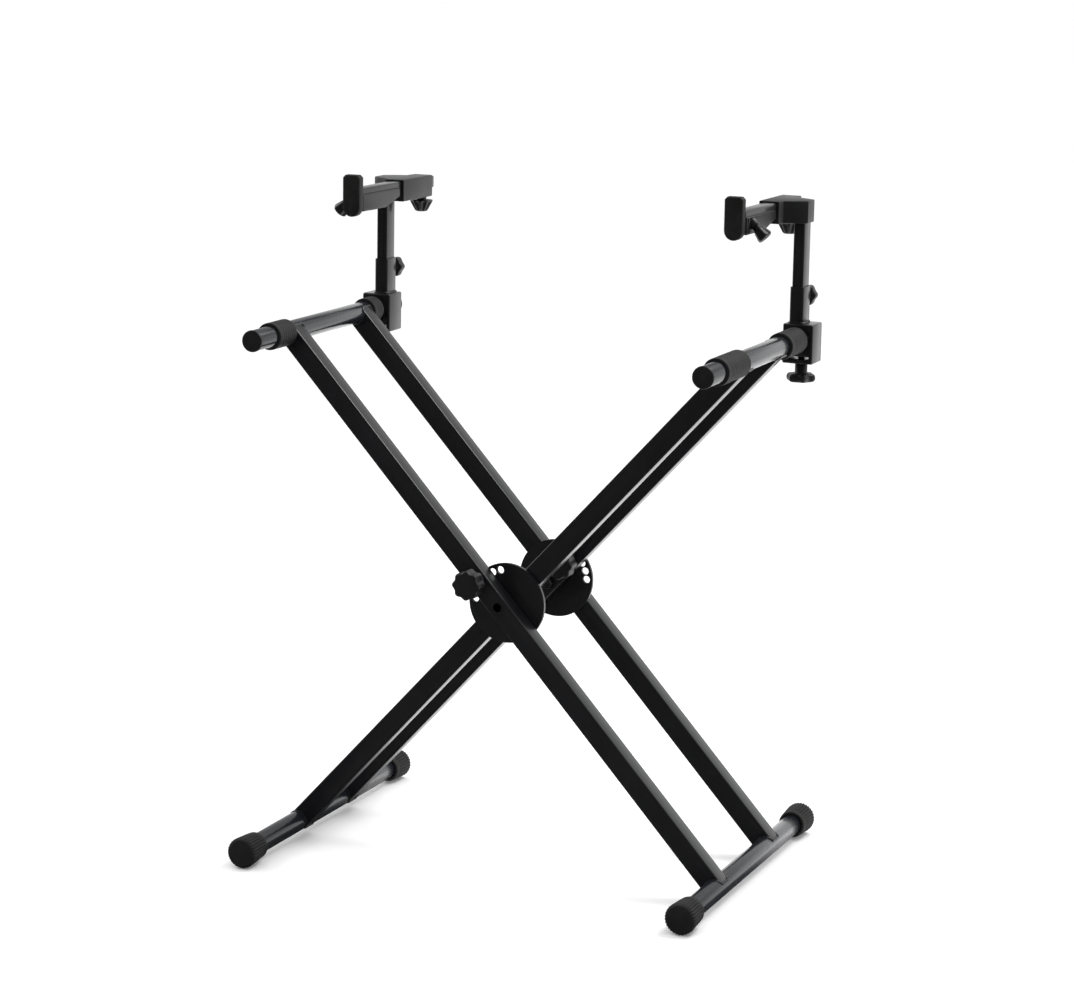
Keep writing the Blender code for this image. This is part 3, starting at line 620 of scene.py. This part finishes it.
def build_hole_rim(place):
    """The moulded rim of the hole in an outer leg that gives access to the pivot bolt."""
    leg = f"outer_leg_{place}"
    side = math.copysign(1, middle(leg).y)
    face = Vector((0, middle(leg).y + side * size(leg).y / 2, PIVOT.z))
    outer = BOLT_ACCESS_RADIUS - 0.0001
    inner = 0.0064
    depth = 0.0030
    profile = [
        (outer, depth),
        (outer, -0.0001),
        (outer + 0.0008, -0.0001),
        (outer + 0.0006, -0.0006),
        (outer - 0.0002, -0.0009),
        (inner + 0.0008, -0.0008),
        (inner + 0.0002, -0.0004),
        (inner, 0.0003),
        (inner, depth),
    ]
    shape = spun(profile, segments=72)
    laid(shape, face, -side * REARWARD)
    piece(f"pivot_hole_rim_{place}", shape, body_of(leg), "plastic", smooth=60)


def bead_along(name, points, sizes, body, cyclic=True):
    """A rippled weld bead on a path."""
    curve = bpy.data.curves.new(name, "CURVE")
    curve.dimensions = "3D"
    curve.bevel_depth = sizes.weld_bead
    curve.bevel_resolution = 3
    curve.use_fill_caps = True
    spline = curve.splines.new("POLY")
    spline.points.add(len(points) - 1)
    # One ripple every four points, with a slower unevenness over it
    for step, (point, spot) in enumerate(zip(spline.points, points)):
        point.co = (*spot, 1)
        ripple = 0.5 + 0.5 * math.cos(step * math.pi / 2)
        point.radius = 0.86 + 0.20 * ripple + 0.05 * math.sin(step * 0.7)
    spline.use_cyclic_u = cyclic
    holder = bpy.data.objects.new(name, curve)
    bpy.context.scene.collection.objects.link(holder)
    evaluated = holder.evaluated_get(bpy.context.evaluated_depsgraph_get())
    shape = bmesh.new()
    shape.from_mesh(evaluated.to_mesh())
    evaluated.to_mesh_clear()
    bpy.data.objects.remove(holder)
    bmesh.ops.remove_doubles(shape, verts=shape.verts, dist=1e-6)
    bmesh.ops.recalc_face_normals(shape, faces=shape.faces)
    mark_wear(shape, lambda vert: 0.4)
    piece(name, shape, body, "frame", smooth=70)


def spread_points(corners, step):
    """Points along a closed path, a quarter ripple apart."""
    spread = []
    for first, last in zip(corners, corners[1:] + corners[:1]):
        count = max(1, round((last - first).length / (step / 4)))
        spread += [first.lerp(last, part / count) for part in range(count)]
    return spread


def rounded_outline(half_width, half_depth, corner):
    """Points round a rectangle with round corners, five to each corner."""
    outline = []
    for quarter, (side, end) in enumerate(((1, 1), (-1, 1), (-1, -1), (1, -1))):
        for step in range(5):
            turn = (quarter + step / 4) * math.pi / 2
            x = (half_width - corner) * side + corner * math.cos(turn)
            y = (half_depth - corner) * end + corner * math.sin(turn)
            outline.append(Vector((x, y, 0)))
    return outline


def build_leg_weld(node, end, sizes):
    """The bead where a square leg meets a round tube: the leg's outline carried onto the tube."""
    direction = leg_direction(node)
    across = Vector((-direction.z, 0, direction.x))
    half = size(node).y / 2
    seat = Vector((0, middle(node).y, PIVOT.z)) + end * direction * LEG_HALF
    points = []
    for spot in spread_points(rounded_outline(half, half, sizes.leg_corner), sizes.weld_step):
        drop = math.sqrt(max(0.0, TUBE_RADIUS ** 2 - min(abs(spot.x), TUBE_RADIUS) ** 2))
        points.append(seat - end * direction * drop + across * spot.x + REARWARD * spot.y)
    where = "arm" if end > 0 else "foot"
    bead_along(f"weld_{node}_{where}", points, sizes, body_of(node))


def build_disc_weld(disc, leg, sizes):
    """Two beads along a leg's edges where it lies against its lock disc."""
    direction = leg_direction(leg)
    across = Vector((-direction.z, 0, direction.x))
    half = size(leg).y / 2
    rim_margin = 0.002
    reach = math.sqrt((size(disc).x / 2 - rim_margin) ** 2 - half ** 2)
    center = middle(disc)
    inward = math.copysign(1, middle(leg).y - center.y)
    off_disc = sizes.weld_bead * BEAD_OFF_DISC
    off_leg = sizes.weld_bead * BEAD_OFF
    seat = center + REARWARD * (size(disc).y / 2 + off_disc) * inward
    for label, edge in (("low", -1), ("high", 1)):
        start = seat + across * (half + off_leg) * edge
        count = round(2 * reach / (sizes.weld_step / 4))
        points = [start + direction * (2 * step / count - 1) * reach for step in range(count + 1)]
        bead_along(f"weld_{disc}_{label}", points, sizes, body_of(disc), cyclic=False)


def build_upright_weld(tag, sizes):
    """The bead round the foot of an outer upright."""
    node = f"{tag}_outer_upright"
    center = middle(node)
    center.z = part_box(node)[0].z + sizes.weld_bead * BEAD_OFF
    half = size(node) / 2
    outline = [center + spot for spot in rounded_outline(half.x, half.y, UPRIGHT_CORNER)]
    bead_along(f"weld_{node}", spread_points(outline, sizes.weld_step), sizes, body_of(node))


def build_end_plug(tag):
    """The moulded plug in the rear end of a shelf arm."""
    node = f"{tag}_shelf_arm"
    thick = 0.0022
    shape = square_plug(size(node).x, size(node).z, SHELF_ARM_CORNER, thick)
    place = middle(node)
    place.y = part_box(node)[1].y + thick / 2
    turn = Matrix.Rotation(-math.pi / 2, 3, "X")
    bmesh.ops.rotate(shape, cent=(0, 0, 0), matrix=turn, verts=shape.verts)
    bmesh.ops.translate(shape, vec=place, verts=shape.verts)
    softened(shape, width=0.0008, sharp=TUBE_SHARP)
    piece(f"{node}_plug", shape, body_of(node), "plastic")


def build_round_tube(node, sizes):
    reach = size(node).y / 2
    inner = TUBE_RADIUS - sizes.tube_wall
    profile = [(TUBE_RADIUS, -reach), (TUBE_RADIUS, reach), (inner, reach), (inner, -reach)]
    shape = softened(spun(profile, segments=96), width=0.0004, sharp=TUBE_SHARP, segments=2)
    laid(shape, middle(node), REARWARD)
    replace_node(node, shape, "tube", smooth=45)


def outer_face(node, outward):
    """The middle of a node's face on one side, and the way from it into the node."""
    low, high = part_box(node)
    spot = middle(node)
    for index in range(3):
        if outward[index] < 0:
            spot[index] = low[index]
        if outward[index] > 0:
            spot[index] = high[index]
    return spot, -Vector(outward)


def cap_face(node):
    """The outer face of a cap on the front or rear end of a tube."""
    return outer_face(node, REARWARD * math.copysign(1, middle(node).y))


def build_foot_cap(node, sizes):
    """A ribbed cap with rounded ribs, a rim at its mouth and a dished end face."""
    face, inward = cap_face(node)
    radius = size(node).x / 2
    mouth = sizes.cap_mouth
    length = size(node).y
    bore = TUBE_RADIUS + CLEARANCE
    rib = sizes.rib_depth
    rim = length - 0.0085
    levels = [
        (radius * 0.60, 0.0010, 0),
        (radius * 0.64, 0.0002, 0),
        (radius * 0.70, 0.0, 0),
        (radius - 0.0044, 0.0, 0),
        (radius - 0.0028, 0.0006, rib * 0.1),
        (radius - 0.0014, 0.0019, rib * 0.6),
        (radius - 0.0005, 0.0034, rib),
        (radius, 0.0055, rib),
        (radius - 0.0003, 0.0110, rib),
        (mouth + 0.0009, rim - 0.004, rib),
        (mouth + 0.0006, rim - 0.0014, rib * 0.9),
        (mouth + 0.0001, rim - 0.0002, rib * 0.2),
        (mouth, rim + 0.0008, 0),
        (mouth, length - 0.0022, 0),
        (mouth - 0.0006, length - 0.0007, 0),
        (mouth - 0.0018, length, 0),
        (bore + 0.0012, length, 0),
        (bore + 0.0002, length - 0.0008, 0),
        (bore, length - 0.004, 0),
        (bore, 0.004, 0),
    ]
    shape = ring_form(levels, segments=8 * sizes.cap_ribs, lobes=sizes.cap_ribs, crown=1.6)
    quarter_turn = Matrix.Rotation(math.pi / 2, 3, "Z")
    bmesh.ops.rotate(shape, cent=(0, 0, 0), matrix=quarter_turn, verts=shape.verts)

    def on_rib(vert):
        crest = radius + (mouth - radius) * vert.co.z / length
        return 1.0 if vert.co.xy.length > crest - rib * 0.2 else 0.0

    mark_wear(shape, on_rib)
    laid(shape, face, inward)
    replace_node(node, shape, "rubber", smooth=55)


def build_arm_cap(node, sizes):
    """The round-edged plug face of a support arm, with a shallow moulded ring."""
    face, inward = cap_face(node)
    radius = size(node).x / 2
    length = size(node).y
    head = ARM_CAP_HEAD
    plug = TUBE_RADIUS - sizes.tube_wall - CLEARANCE
    levels = [
        (radius * 0.20, 0.0005, 0),
        (radius * 0.66, 0.0005, 0),
        (radius * 0.71, 0.0, 0),
        (radius - 0.0016, 0.0, 0),
        (radius - 0.0007, 0.0003, 0),
        (radius - 0.0002, 0.0009, 0),
        (radius, 0.0017, 0),
        (radius, head, 0),
        (plug, head, 0),
        (plug, length, 0),
    ]
    shape = ring_form(levels, segments=96)

    def on_rim(vert):
        return 0.6 if 0.0 < vert.co.z < 0.0012 and vert.co.xy.length > radius * 0.9 else 0.0

    mark_wear(shape, on_rim)
    laid(shape, face, inward)
    replace_node(node, shape, "plastic")


def build_sleeve(node):
    """A rubber sleeve with a rolled lip at each end and moulded rings between."""
    low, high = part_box(node)
    outer = size(node).x / 2
    bore = TUBE_RADIUS + CLEARANCE
    length = high.y - low.y
    lip = 0.0016
    groove_pitch = 0.006
    groove_half = 0.0007
    groove_depth = 0.00035
    plain_ends = 0.016
    profile = [(bore, 0), (outer - lip, 0)]
    for part in range(1, 6):
        turn = part * math.pi / 10
        profile.append((outer - lip + lip * math.sin(turn), lip - lip * math.cos(turn)))
    grooves = int((length - plain_ends) / groove_pitch)
    start = (length - grooves * groove_pitch) / 2
    for step in range(grooves + 1):
        at = start + step * groove_pitch
        profile.append((outer, at - groove_half))
        profile.append((outer - groove_depth, at))
        profile.append((outer, at + groove_half))
    for part in range(6):
        turn = math.pi / 2 - part * math.pi / 10
        profile.append((outer - lip + lip * math.sin(turn), length - lip + lip * math.cos(turn)))
    profile.append((bore, length))
    shape = spun(profile, segments=80)
    mark_wear(shape, lambda vert: 0.0 if lip <= vert.co.z <= length - lip else 0.5)
    place = middle(node)
    place.y = low.y
    laid(shape, place, REARWARD)
    replace_node(node, shape, "rubber", smooth=50)


def build_lock_disc(node, sizes):
    """A flat plate whose rim and lock holes have rounded edges."""
    center = middle(node)
    radius = size(node).x / 2
    thick = size(node).y
    cutters = [laid(rod(BOLT_RADIUS + CLEARANCE, 4 * thick, segments=40), center, REARWARD)]
    for step in range(sizes.holes):
        turn = LEG_ANGLE + sizes.first_hole + step * sizes.hole_pitch
        if node.startswith("rear"):
            turn = math.pi - turn
        spot = center + Vector((math.cos(turn), 0, math.sin(turn))) * sizes.hole_circle
        cutters.append(laid(rod(sizes.hole_radius, 4 * thick, segments=48), spot, REARWARD))
    plate = laid(rod(radius, thick, segments=180), center, REARWARD)
    shape = softened(carved(plate, cutters), width=0.0006, sharp=TUBE_SHARP)
    replace_node(node, shape, "frame", smooth=42)


def finish_knob(node, shape, reach, face, inward):
    """Marks the lobes that hands polish, and puts the knob in its place."""
    grip = reach * 0.93
    mark_wear(shape, lambda vert: max(0.0, min(1.0, (vert.co.xy.length - grip) / (reach - grip))))
    laid(shape, face, inward)
    replace_node(node, shape, "plastic", smooth=50)


def build_lock_knob(node):
    """The eight-sided pull knob: a dished face, soft shoulders and a waisted neck."""
    face, inward = outer_face(node, (0, -1, 0))
    radius = size(node).x / 2
    length = size(node).y
    bore = 0.0048
    lobe = 0.0027
    levels = [
        (radius * 0.30, 0.0011, 0),
        (radius * 0.62, 0.0010, 0),
        (radius * 0.69, 0.0003, 0),
        (radius * 0.74, 0.0, lobe * 0.1),
        (radius - 0.0032, 0.0, lobe * 0.5),
        (radius - 0.0016, 0.0006, lobe * 0.8),
        (radius - 0.0004, 0.0018, lobe),
        (radius, 0.0034, lobe),
        (radius, 0.0205, lobe),
        (radius - 0.0005, 0.0222, lobe),
        (radius - 0.0019, 0.0234, lobe * 0.8),
        (radius - 0.0040, 0.0239, lobe * 0.4),
        (0.0125, 0.0243, 0),
        (0.0109, 0.0252, 0),
        (0.0104, 0.0272, 0),
        (0.0105, length - 0.0006, 0),
        (0.0099, length, 0),
        (bore, length, 0),
        (bore, 0.0123, 0),
    ]
    finish_knob(node, ring_form(levels, segments=128, lobes=8), radius, face, inward)


def build_clamp_knob(node):
    """The flat six-armed knob under a clamp, with its boss and screw."""
    face, inward = outer_face(node, (0, 0, -1))
    arm_z = middle("left_support_arm").z
    radius = 0.022
    length = size(node).z
    lobe = 0.0045
    head = 0.0120
    boss_top = arm_z - SADDLE_DROP - face.z
    thread_pitch = 0.00125
    thread_root = 0.0042
    levels = [
        (radius * 0.28, 0.0008, 0),
        (radius * 0.45, 0.0007, 0),
        (radius * 0.52, 0.0, lobe * 0.05),
        (radius - 0.0052, 0.0, lobe * 0.5),
        (radius - 0.0028, 0.0006, lobe * 0.8),
        (radius - 0.0010, 0.0022, lobe * 0.95),
        (radius - 0.0001, 0.0044, lobe),
        (radius, 0.0060, lobe),
        (radius - 0.0004, 0.0084, lobe),
        (radius - 0.0014, 0.0104, lobe * 0.9),
        (radius - 0.0034, 0.0117, lobe * 0.7),
        (radius - 0.0060, 0.0121, lobe * 0.4),
        (0.0118, head + 0.0001, 0),
        (0.0098, head + 0.0006, 0),
        (0.0091, head + 0.0018, 0),
        (0.0090, boss_top - 0.0005, 0),
        (0.0085, boss_top, 0),
        (thread_root, boss_top, 0),
    ]
    for turn in range(int((length - boss_top) / thread_pitch)):
        levels.append((CLAMP_SCREW_RADIUS, boss_top + (turn + 0.5) * thread_pitch, 0))
        levels.append((thread_root, boss_top + (turn + 1) * thread_pitch, 0))
    levels.append((thread_root, length, 0))
    shape = ring_form(levels, segments=120, lobes=6, crown=0.8)
    finish_knob(node, shape, radius, face, inward)


def build_rear_knob(node):
    """The tapered fluted knob under a head bracket."""
    face, inward = outer_face(node, (0, 0, -1))
    radius = 0.0175
    length = size(node).z
    boss = 0.0075
    levels = [
        (0.0060, 0.0006, 0),
        (0.0072, 0.0, 0.0004),
        (0.0085, 0.0006, 0.0010),
        (0.0100, 0.0018, 0.0018),
        (0.0163, 0.0130, 0.0028),
        (0.0172, 0.0150, 0.0024),
        (radius, 0.0160, 0.0014),
        (0.0173, 0.0168, 0.0004),
        (0.0164, 0.0174, 0),
        (0.0078, 0.0178, 0),
        (boss, 0.0190, 0),
        (boss, 0.0227, 0),
        (KNOB_SCREW_RADIUS, 0.0227, 0),
        (KNOB_SCREW_RADIUS, length, 0),
    ]
    finish_knob(node, ring_form(levels, segments=120, lobes=10), radius, face, inward)


def build_height_knob(node):
    """The six-sided knob on the back of an outer upright."""
    face, inward = outer_face(node, (0, 1, 0))
    radius = 0.016
    length = size(node).y
    boss = 0.0080
    lobe = 0.0020
    levels = [
        (0.0050, 0.0007, 0),
        (0.0090, 0.0007, 0),
        (0.0098, 0.0, 0),
        (0.0128, 0.0, 0.0006),
        (0.0146, 0.0008, 0.0014),
        (0.0158, 0.0026, lobe),
        (radius, 0.0045, lobe),
        (radius, 0.0122, lobe),
        (0.0154, 0.0140, 0.0016),
        (0.0140, 0.0150, 0.0008),
        (0.0088, 0.0155, 0),
        (boss, 0.0165, 0),
        (boss, 0.0210, 0),
        (KNOB_SCREW_RADIUS, 0.0210, 0),
        (KNOB_SCREW_RADIUS, length, 0),
    ]
    finish_knob(node, ring_form(levels, segments=96, lobes=6), radius, face, inward)


def build_stop_knob(tag):
    """The small tapered knob of a front stop, on its sloping axis."""
    side = SIDES[tag]
    slope = Vector((side, 0, -1)).normalized()
    start = Vector((side * STOP_SCREW.x, STOP_SCREW.y, STOP_SCREW.z))
    radius = 0.0115
    levels = [
        (KNOB_SCREW_RADIUS, 0.003, 0),
        (KNOB_SCREW_RADIUS, 0.0103, 0),
        (0.0055, 0.0103, 0),
        (0.0060, 0.0108, 0),
        (0.0060, 0.0145, 0),
        (0.0078, 0.0160, 0.0006),
        (0.0088, 0.0180, 0.0013),
        (0.0110, 0.0265, 0.0020),
        (radius, 0.0290, 0.0020),
        (0.0111, 0.0307, 0.0014),
        (0.0098, 0.0318, 0.0004),
        (0.0070, 0.0320, 0),
        (0.0062, 0.0314, 0),
        (0.0030, 0.0314, 0),
    ]
    shape = ring_form(levels, segments=96, lobes=6)
    finish_knob(f"{tag}_stop_knob", shape, radius, start, slope)


# How much each steel piece's edges are rounded, with its place filled in
STEEL_EDGES = (
    ("{}_lock_bush", 0.0004),
    ("{}_lock_pin", 0.0002),
    ("pivot_bolt_{}", 0.0003),
    ("pivot_nut_{}", 0.0004),
    ("pivot_washer_{}", 0.0003),
)

# How much the edges of the second tier's pieces are rounded, and which edges
TIER_EDGES = (
    ("clamp_liner", "plastic", 0.0002, FACET_SHARP),
    ("clamp_saddle", "frame", 0.0005, FACET_SHARP),
    ("clamp_shoe", "steel", 0.0004, FACET_SHARP),
    ("outer_upright", "frame", 0.0004, TUBE_SHARP),
    ("inner_upright", "frame", 0.0003, TUBE_SHARP),
    ("head_bracket", "plastic", 0.0006, FACET_SHARP),
    ("shelf_arm", "frame", 0.0004, TUBE_SHARP),
    ("front_stop", "plastic", 0.0005, FACET_SHARP),
    ("stop_peg", "rubber", 0.0005, FACET_SHARP),
)


def soften_node(node, slot, width, sharp):
    replace_node(node, softened(node_form(node), width, sharp), slot, smooth=32)


class STAND_OT_finishes(bpy.types.Operator):
    """Make the five finishes and give them to the CAD nodes"""

    bl_idname = "stand.finishes"
    bl_label = "Finishes"

    def execute(self, context):
        make_finishes(context.scene.stand_colours)
        slots = {part["node"]: part["material_slot"] for part in frame["record"]["subparts"]}
        for name, node in NODES.items():
            node.data.materials.clear()
            node.data.materials.append(FINISHES[slots[name]])
        return {"FINISHED"}


class STAND_OT_legs(bpy.types.Operator):
    """Make the four coped legs and their weld beads"""

    bl_idname = "stand.legs"
    bl_label = "Legs and Welds"

    def execute(self, context):
        sizes = context.scene.stand_sizes
        for tag in ("outer", "inner"):
            for place in ENDS:
                build_leg(f"{tag}_leg_{place}", sizes)
                for end in (-1, 1):
                    build_leg_weld(f"{tag}_leg_{place}", end, sizes)
        for place in ENDS:
            build_hole_rim(place)
        build_disc_weld("front_lock_disc", "inner_leg_front", sizes)
        build_disc_weld("rear_lock_disc", "outer_leg_rear", sizes)
        return {"FINISHED"}


class STAND_OT_round_tubes(bpy.types.Operator):
    """Make the foot tubes and the support arms"""

    bl_idname = "stand.round_tubes"
    bl_label = "Round Tubes"

    def execute(self, context):
        sizes = context.scene.stand_sizes
        for tag in SIDES:
            build_round_tube(f"{tag}_foot_tube", sizes)
            build_round_tube(f"{tag}_support_arm", sizes)
        return {"FINISHED"}


class STAND_OT_rubber(bpy.types.Operator):
    """Make the foot caps, the arm caps and the sleeves"""

    bl_idname = "stand.rubber"
    bl_label = "Caps and Sleeves"

    def execute(self, context):
        sizes = context.scene.stand_sizes
        for tag in SIDES:
            for place in ENDS:
                build_foot_cap(f"{tag}_foot_cap_{place}", sizes)
                build_arm_cap(f"{tag}_arm_cap_{place}", sizes)
                build_sleeve(f"{tag}_arm_sleeve_{place}")
        return {"FINISHED"}


class STAND_OT_locks(bpy.types.Operator):
    """Make the lock discs, pins, bushes and pull knobs, and the pivot hardware"""

    bl_idname = "stand.locks"
    bl_label = "Locks and Pivot"

    def execute(self, context):
        sizes = context.scene.stand_sizes
        for place in ENDS:
            build_lock_disc(f"{place}_lock_disc", sizes)
            build_lock_knob(f"{place}_lock_knob")
            for label, width in STEEL_EDGES:
                soften_node(label.format(place), "steel", width, FACET_SHARP)
        return {"FINISHED"}


class STAND_OT_second_tier(bpy.types.Operator):
    """Make the clamps, uprights, head brackets, shelf arms and their knobs"""

    bl_idname = "stand.second_tier"
    bl_label = "Second Tier"

    def execute(self, context):
        sizes = context.scene.stand_sizes
        for tag in SIDES:
            build_clamp_knob(f"{tag}_clamp_knob")
            build_rear_knob(f"{tag}_rear_knob")
            build_height_knob(f"{tag}_height_knob")
            build_stop_knob(tag)
            build_upright_weld(tag, sizes)
            build_end_plug(tag)
            for part, slot, width, sharp in TIER_EDGES:
                soften_node(f"{tag}_{part}", slot, width, sharp)
        return {"FINISHED"}


# Stage

# The camera that was fitted to the photograph: metres, radians and pixels
CAMERA_PLACE = Vector((1.69821, -4.06344, 1.39963))
CAMERA_YAW = 0.39475
CAMERA_PITCH = 0.19342
CAMERA_ROLL = 0.0175
PHOTO_WIDTH = 1074
FOCAL_PIXELS = 3107.08
SENSOR_WIDTH_MM = 36.0
FARTHEST_SEEN = 50.0

# What the glossy paint reflects: a dark front, a bright back, and less light from high up
FRONT_DARK = 0.04
BACK_BRIGHT = 1.0
HIGH_DIMMED = 0.48
BACK_STARTS, BACK_FULL = -0.55, 0.25
HIGH_STARTS, HIGH_FULL = 0.20, 0.42

# For glossy rays the floor's colour is painted as dark as the front up to the stand, a painted
# dark reflection, and it is a little lifted where the camera sees it
FLOOR_DARK_TO, FLOOR_PALE_FROM = 0.0, 0.35
FLOOR_LIFT = 0.05
FLOOR_HALF = 30.0
FLOOR_DROP = 0.0002

# Soft lights: name, place, width in metres and power in watts
LIT_PLACE = Vector((0, 0, 0.5))
SOFT_LIGHTS = (
    ("key_light", (1.6, 1.2, 3.6), 1.6, 70),
    ("side_light", (-3.2, 0.6, 2.6), 1.4, 30),
)


def make_camera(scene):
    """The camera at the photograph's place, with the photograph's roll."""
    lens = bpy.data.cameras.new("photo_camera")
    lens.sensor_width = SENSOR_WIDTH_MM
    lens.lens = SENSOR_WIDTH_MM * FOCAL_PIXELS / PHOTO_WIDTH
    lens.clip_end = FARTHEST_SEEN
    camera = bpy.data.objects.new("photo_camera", lens)
    level = math.cos(CAMERA_PITCH)
    ahead = (-math.sin(CAMERA_YAW) * level, math.cos(CAMERA_YAW) * level, -math.sin(CAMERA_PITCH))
    forward = Vector(ahead)
    right = Vector((math.cos(CAMERA_YAW), math.sin(CAMERA_YAW), 0))
    above = right.cross(forward)
    tilted_right = math.cos(CAMERA_ROLL) * right + math.sin(CAMERA_ROLL) * above
    tilted_above = math.cos(CAMERA_ROLL) * above - math.sin(CAMERA_ROLL) * right
    turn = Matrix((tilted_right, tilted_above, -forward)).transposed().to_4x4()
    camera.matrix_world = Matrix.Translation(CAMERA_PLACE) @ turn
    scene.collection.objects.link(camera)
    scene.camera = camera


def make_floor(scene, white):
    """The pale floor, whose colour is painted darker for glossy rays in front of the stand and
    under it: a painted dark reflection.
    """
    look = Finish("pale_floor")
    back = look.band(look.part(look.place(), "Y"), FLOOR_DARK_TO, FLOOR_PALE_FROM)
    # Painted dark reflection: only glossy rays see the floor's colour darkened in front of the
    # stand and under it
    shade = look.light_path("Is Glossy Ray") * (1 - back)
    seen = look.light_path("Is Camera Ray")
    look.finish(
        Base_Color=look.mixed(shade, scaled(white, 1.0), scaled(white, FRONT_DARK)),
        Emission_Color=look.mixed(seen, scaled(white, 0.0), scaled(white, 1.0)),
        Emission_Strength=FLOOR_LIFT,
        Roughness=0.9,
    )
    shape = bmesh.new()
    bmesh.ops.create_grid(shape, x_segments=1, y_segments=1, size=FLOOR_HALF)
    mesh = bpy.data.meshes.new("floor")
    shape.to_mesh(mesh)
    shape.free()
    mesh.materials.append(look.material)
    floor = bpy.data.objects.new("floor", mesh)
    floor.location.z = -FLOOR_DROP
    scene.collection.objects.link(floor)


def make_studio(scene, white):
    """Plain white to the camera. To glossy paint it is dark in front and bright behind."""
    world = bpy.data.worlds.new("studio")
    studio = Tree(world)
    toward = studio.add("ShaderNodeTexCoord", output="Generated")
    back_share = studio.band(studio.part(toward, "Y"), BACK_STARTS, BACK_FULL)
    high_share = studio.band(studio.part(toward, "Z"), HIGH_STARTS, HIGH_FULL)
    lit = back_share * (1 - high_share * HIGH_DIMMED)
    reflected = lit * (BACK_BRIGHT - FRONT_DARK) + FRONT_DARK
    glossy = studio.light_path("Is Glossy Ray")
    background = studio.nodes["Background"]
    background.inputs["Color"].default_value = scaled(white, 1.0)
    studio.feed(background.inputs["Strength"], glossy * reflected + (1 - glossy))
    scene.world = world


def soft_light(name, place, width, power):
    lamp = bpy.data.lights.new(name, "AREA")
    lamp.shape = "SQUARE"
    lamp.size = width
    lamp.energy = power
    holder = bpy.data.objects.new(name, lamp)
    holder.location = place
    holder.rotation_euler = (LIT_PLACE - Vector(place)).to_track_quat("-Z", "Y").to_euler()
    bpy.context.scene.collection.objects.link(holder)


class STAND_OT_stage(bpy.types.Operator):
    """Set the camera at the photograph's place, with a pale floor and soft light"""

    bl_idname = "stand.stage"
    bl_label = "Stage"

    def execute(self, context):
        scene = context.scene
        white = scene.stand_colours.backdrop
        scene.view_settings.view_transform = "Standard"
        make_camera(scene)
        make_floor(scene, white)
        make_studio(scene, white)
        for name, place, width, power in SOFT_LIGHTS:
            soft_light(name, place, width, power)
        return {"FINISHED"}


class STAND_PT_panel(bpy.types.Panel):
    """The steps of the stand, in order"""

    bl_label = "Keyboard Stand"
    bl_idname = "STAND_PT_panel"
    bl_space_type = "VIEW_3D"
    bl_region_type = "UI"
    bl_category = "Stand"

    def draw(self, context):
        for group in (context.scene.stand_sizes, context.scene.stand_colours):
            for key in group.__annotations__:
                self.layout.prop(group, key)
        for step in STEPS:
            self.layout.operator(step.bl_idname)


STEPS = (
    STAND_OT_finishes,
    STAND_OT_legs,
    STAND_OT_round_tubes,
    STAND_OT_rubber,
    STAND_OT_locks,
    STAND_OT_second_tier,
    STAND_OT_stage,
)
CLASSES = (StandSizes, StandColours, *STEPS, STAND_PT_panel)


def register():
    for part in CLASSES:
        bpy.utils.register_class(part)
    bpy.types.Scene.stand_sizes = bpy.props.PointerProperty(type=StandSizes)
    bpy.types.Scene.stand_colours = bpy.props.PointerProperty(type=StandColours)


def unregister():
    del bpy.types.Scene.stand_colours
    del bpy.types.Scene.stand_sizes
    for part in reversed(CLASSES):
        bpy.utils.unregister_class(part)


def main():
    register()
    bpy.ops.stand.finishes()
    bpy.ops.stand.legs()
    bpy.ops.stand.round_tubes()
    bpy.ops.stand.rubber()
    bpy.ops.stand.locks()
    bpy.ops.stand.second_tier()
    bpy.ops.stand.stage()


if __name__ == "__main__":
    main()
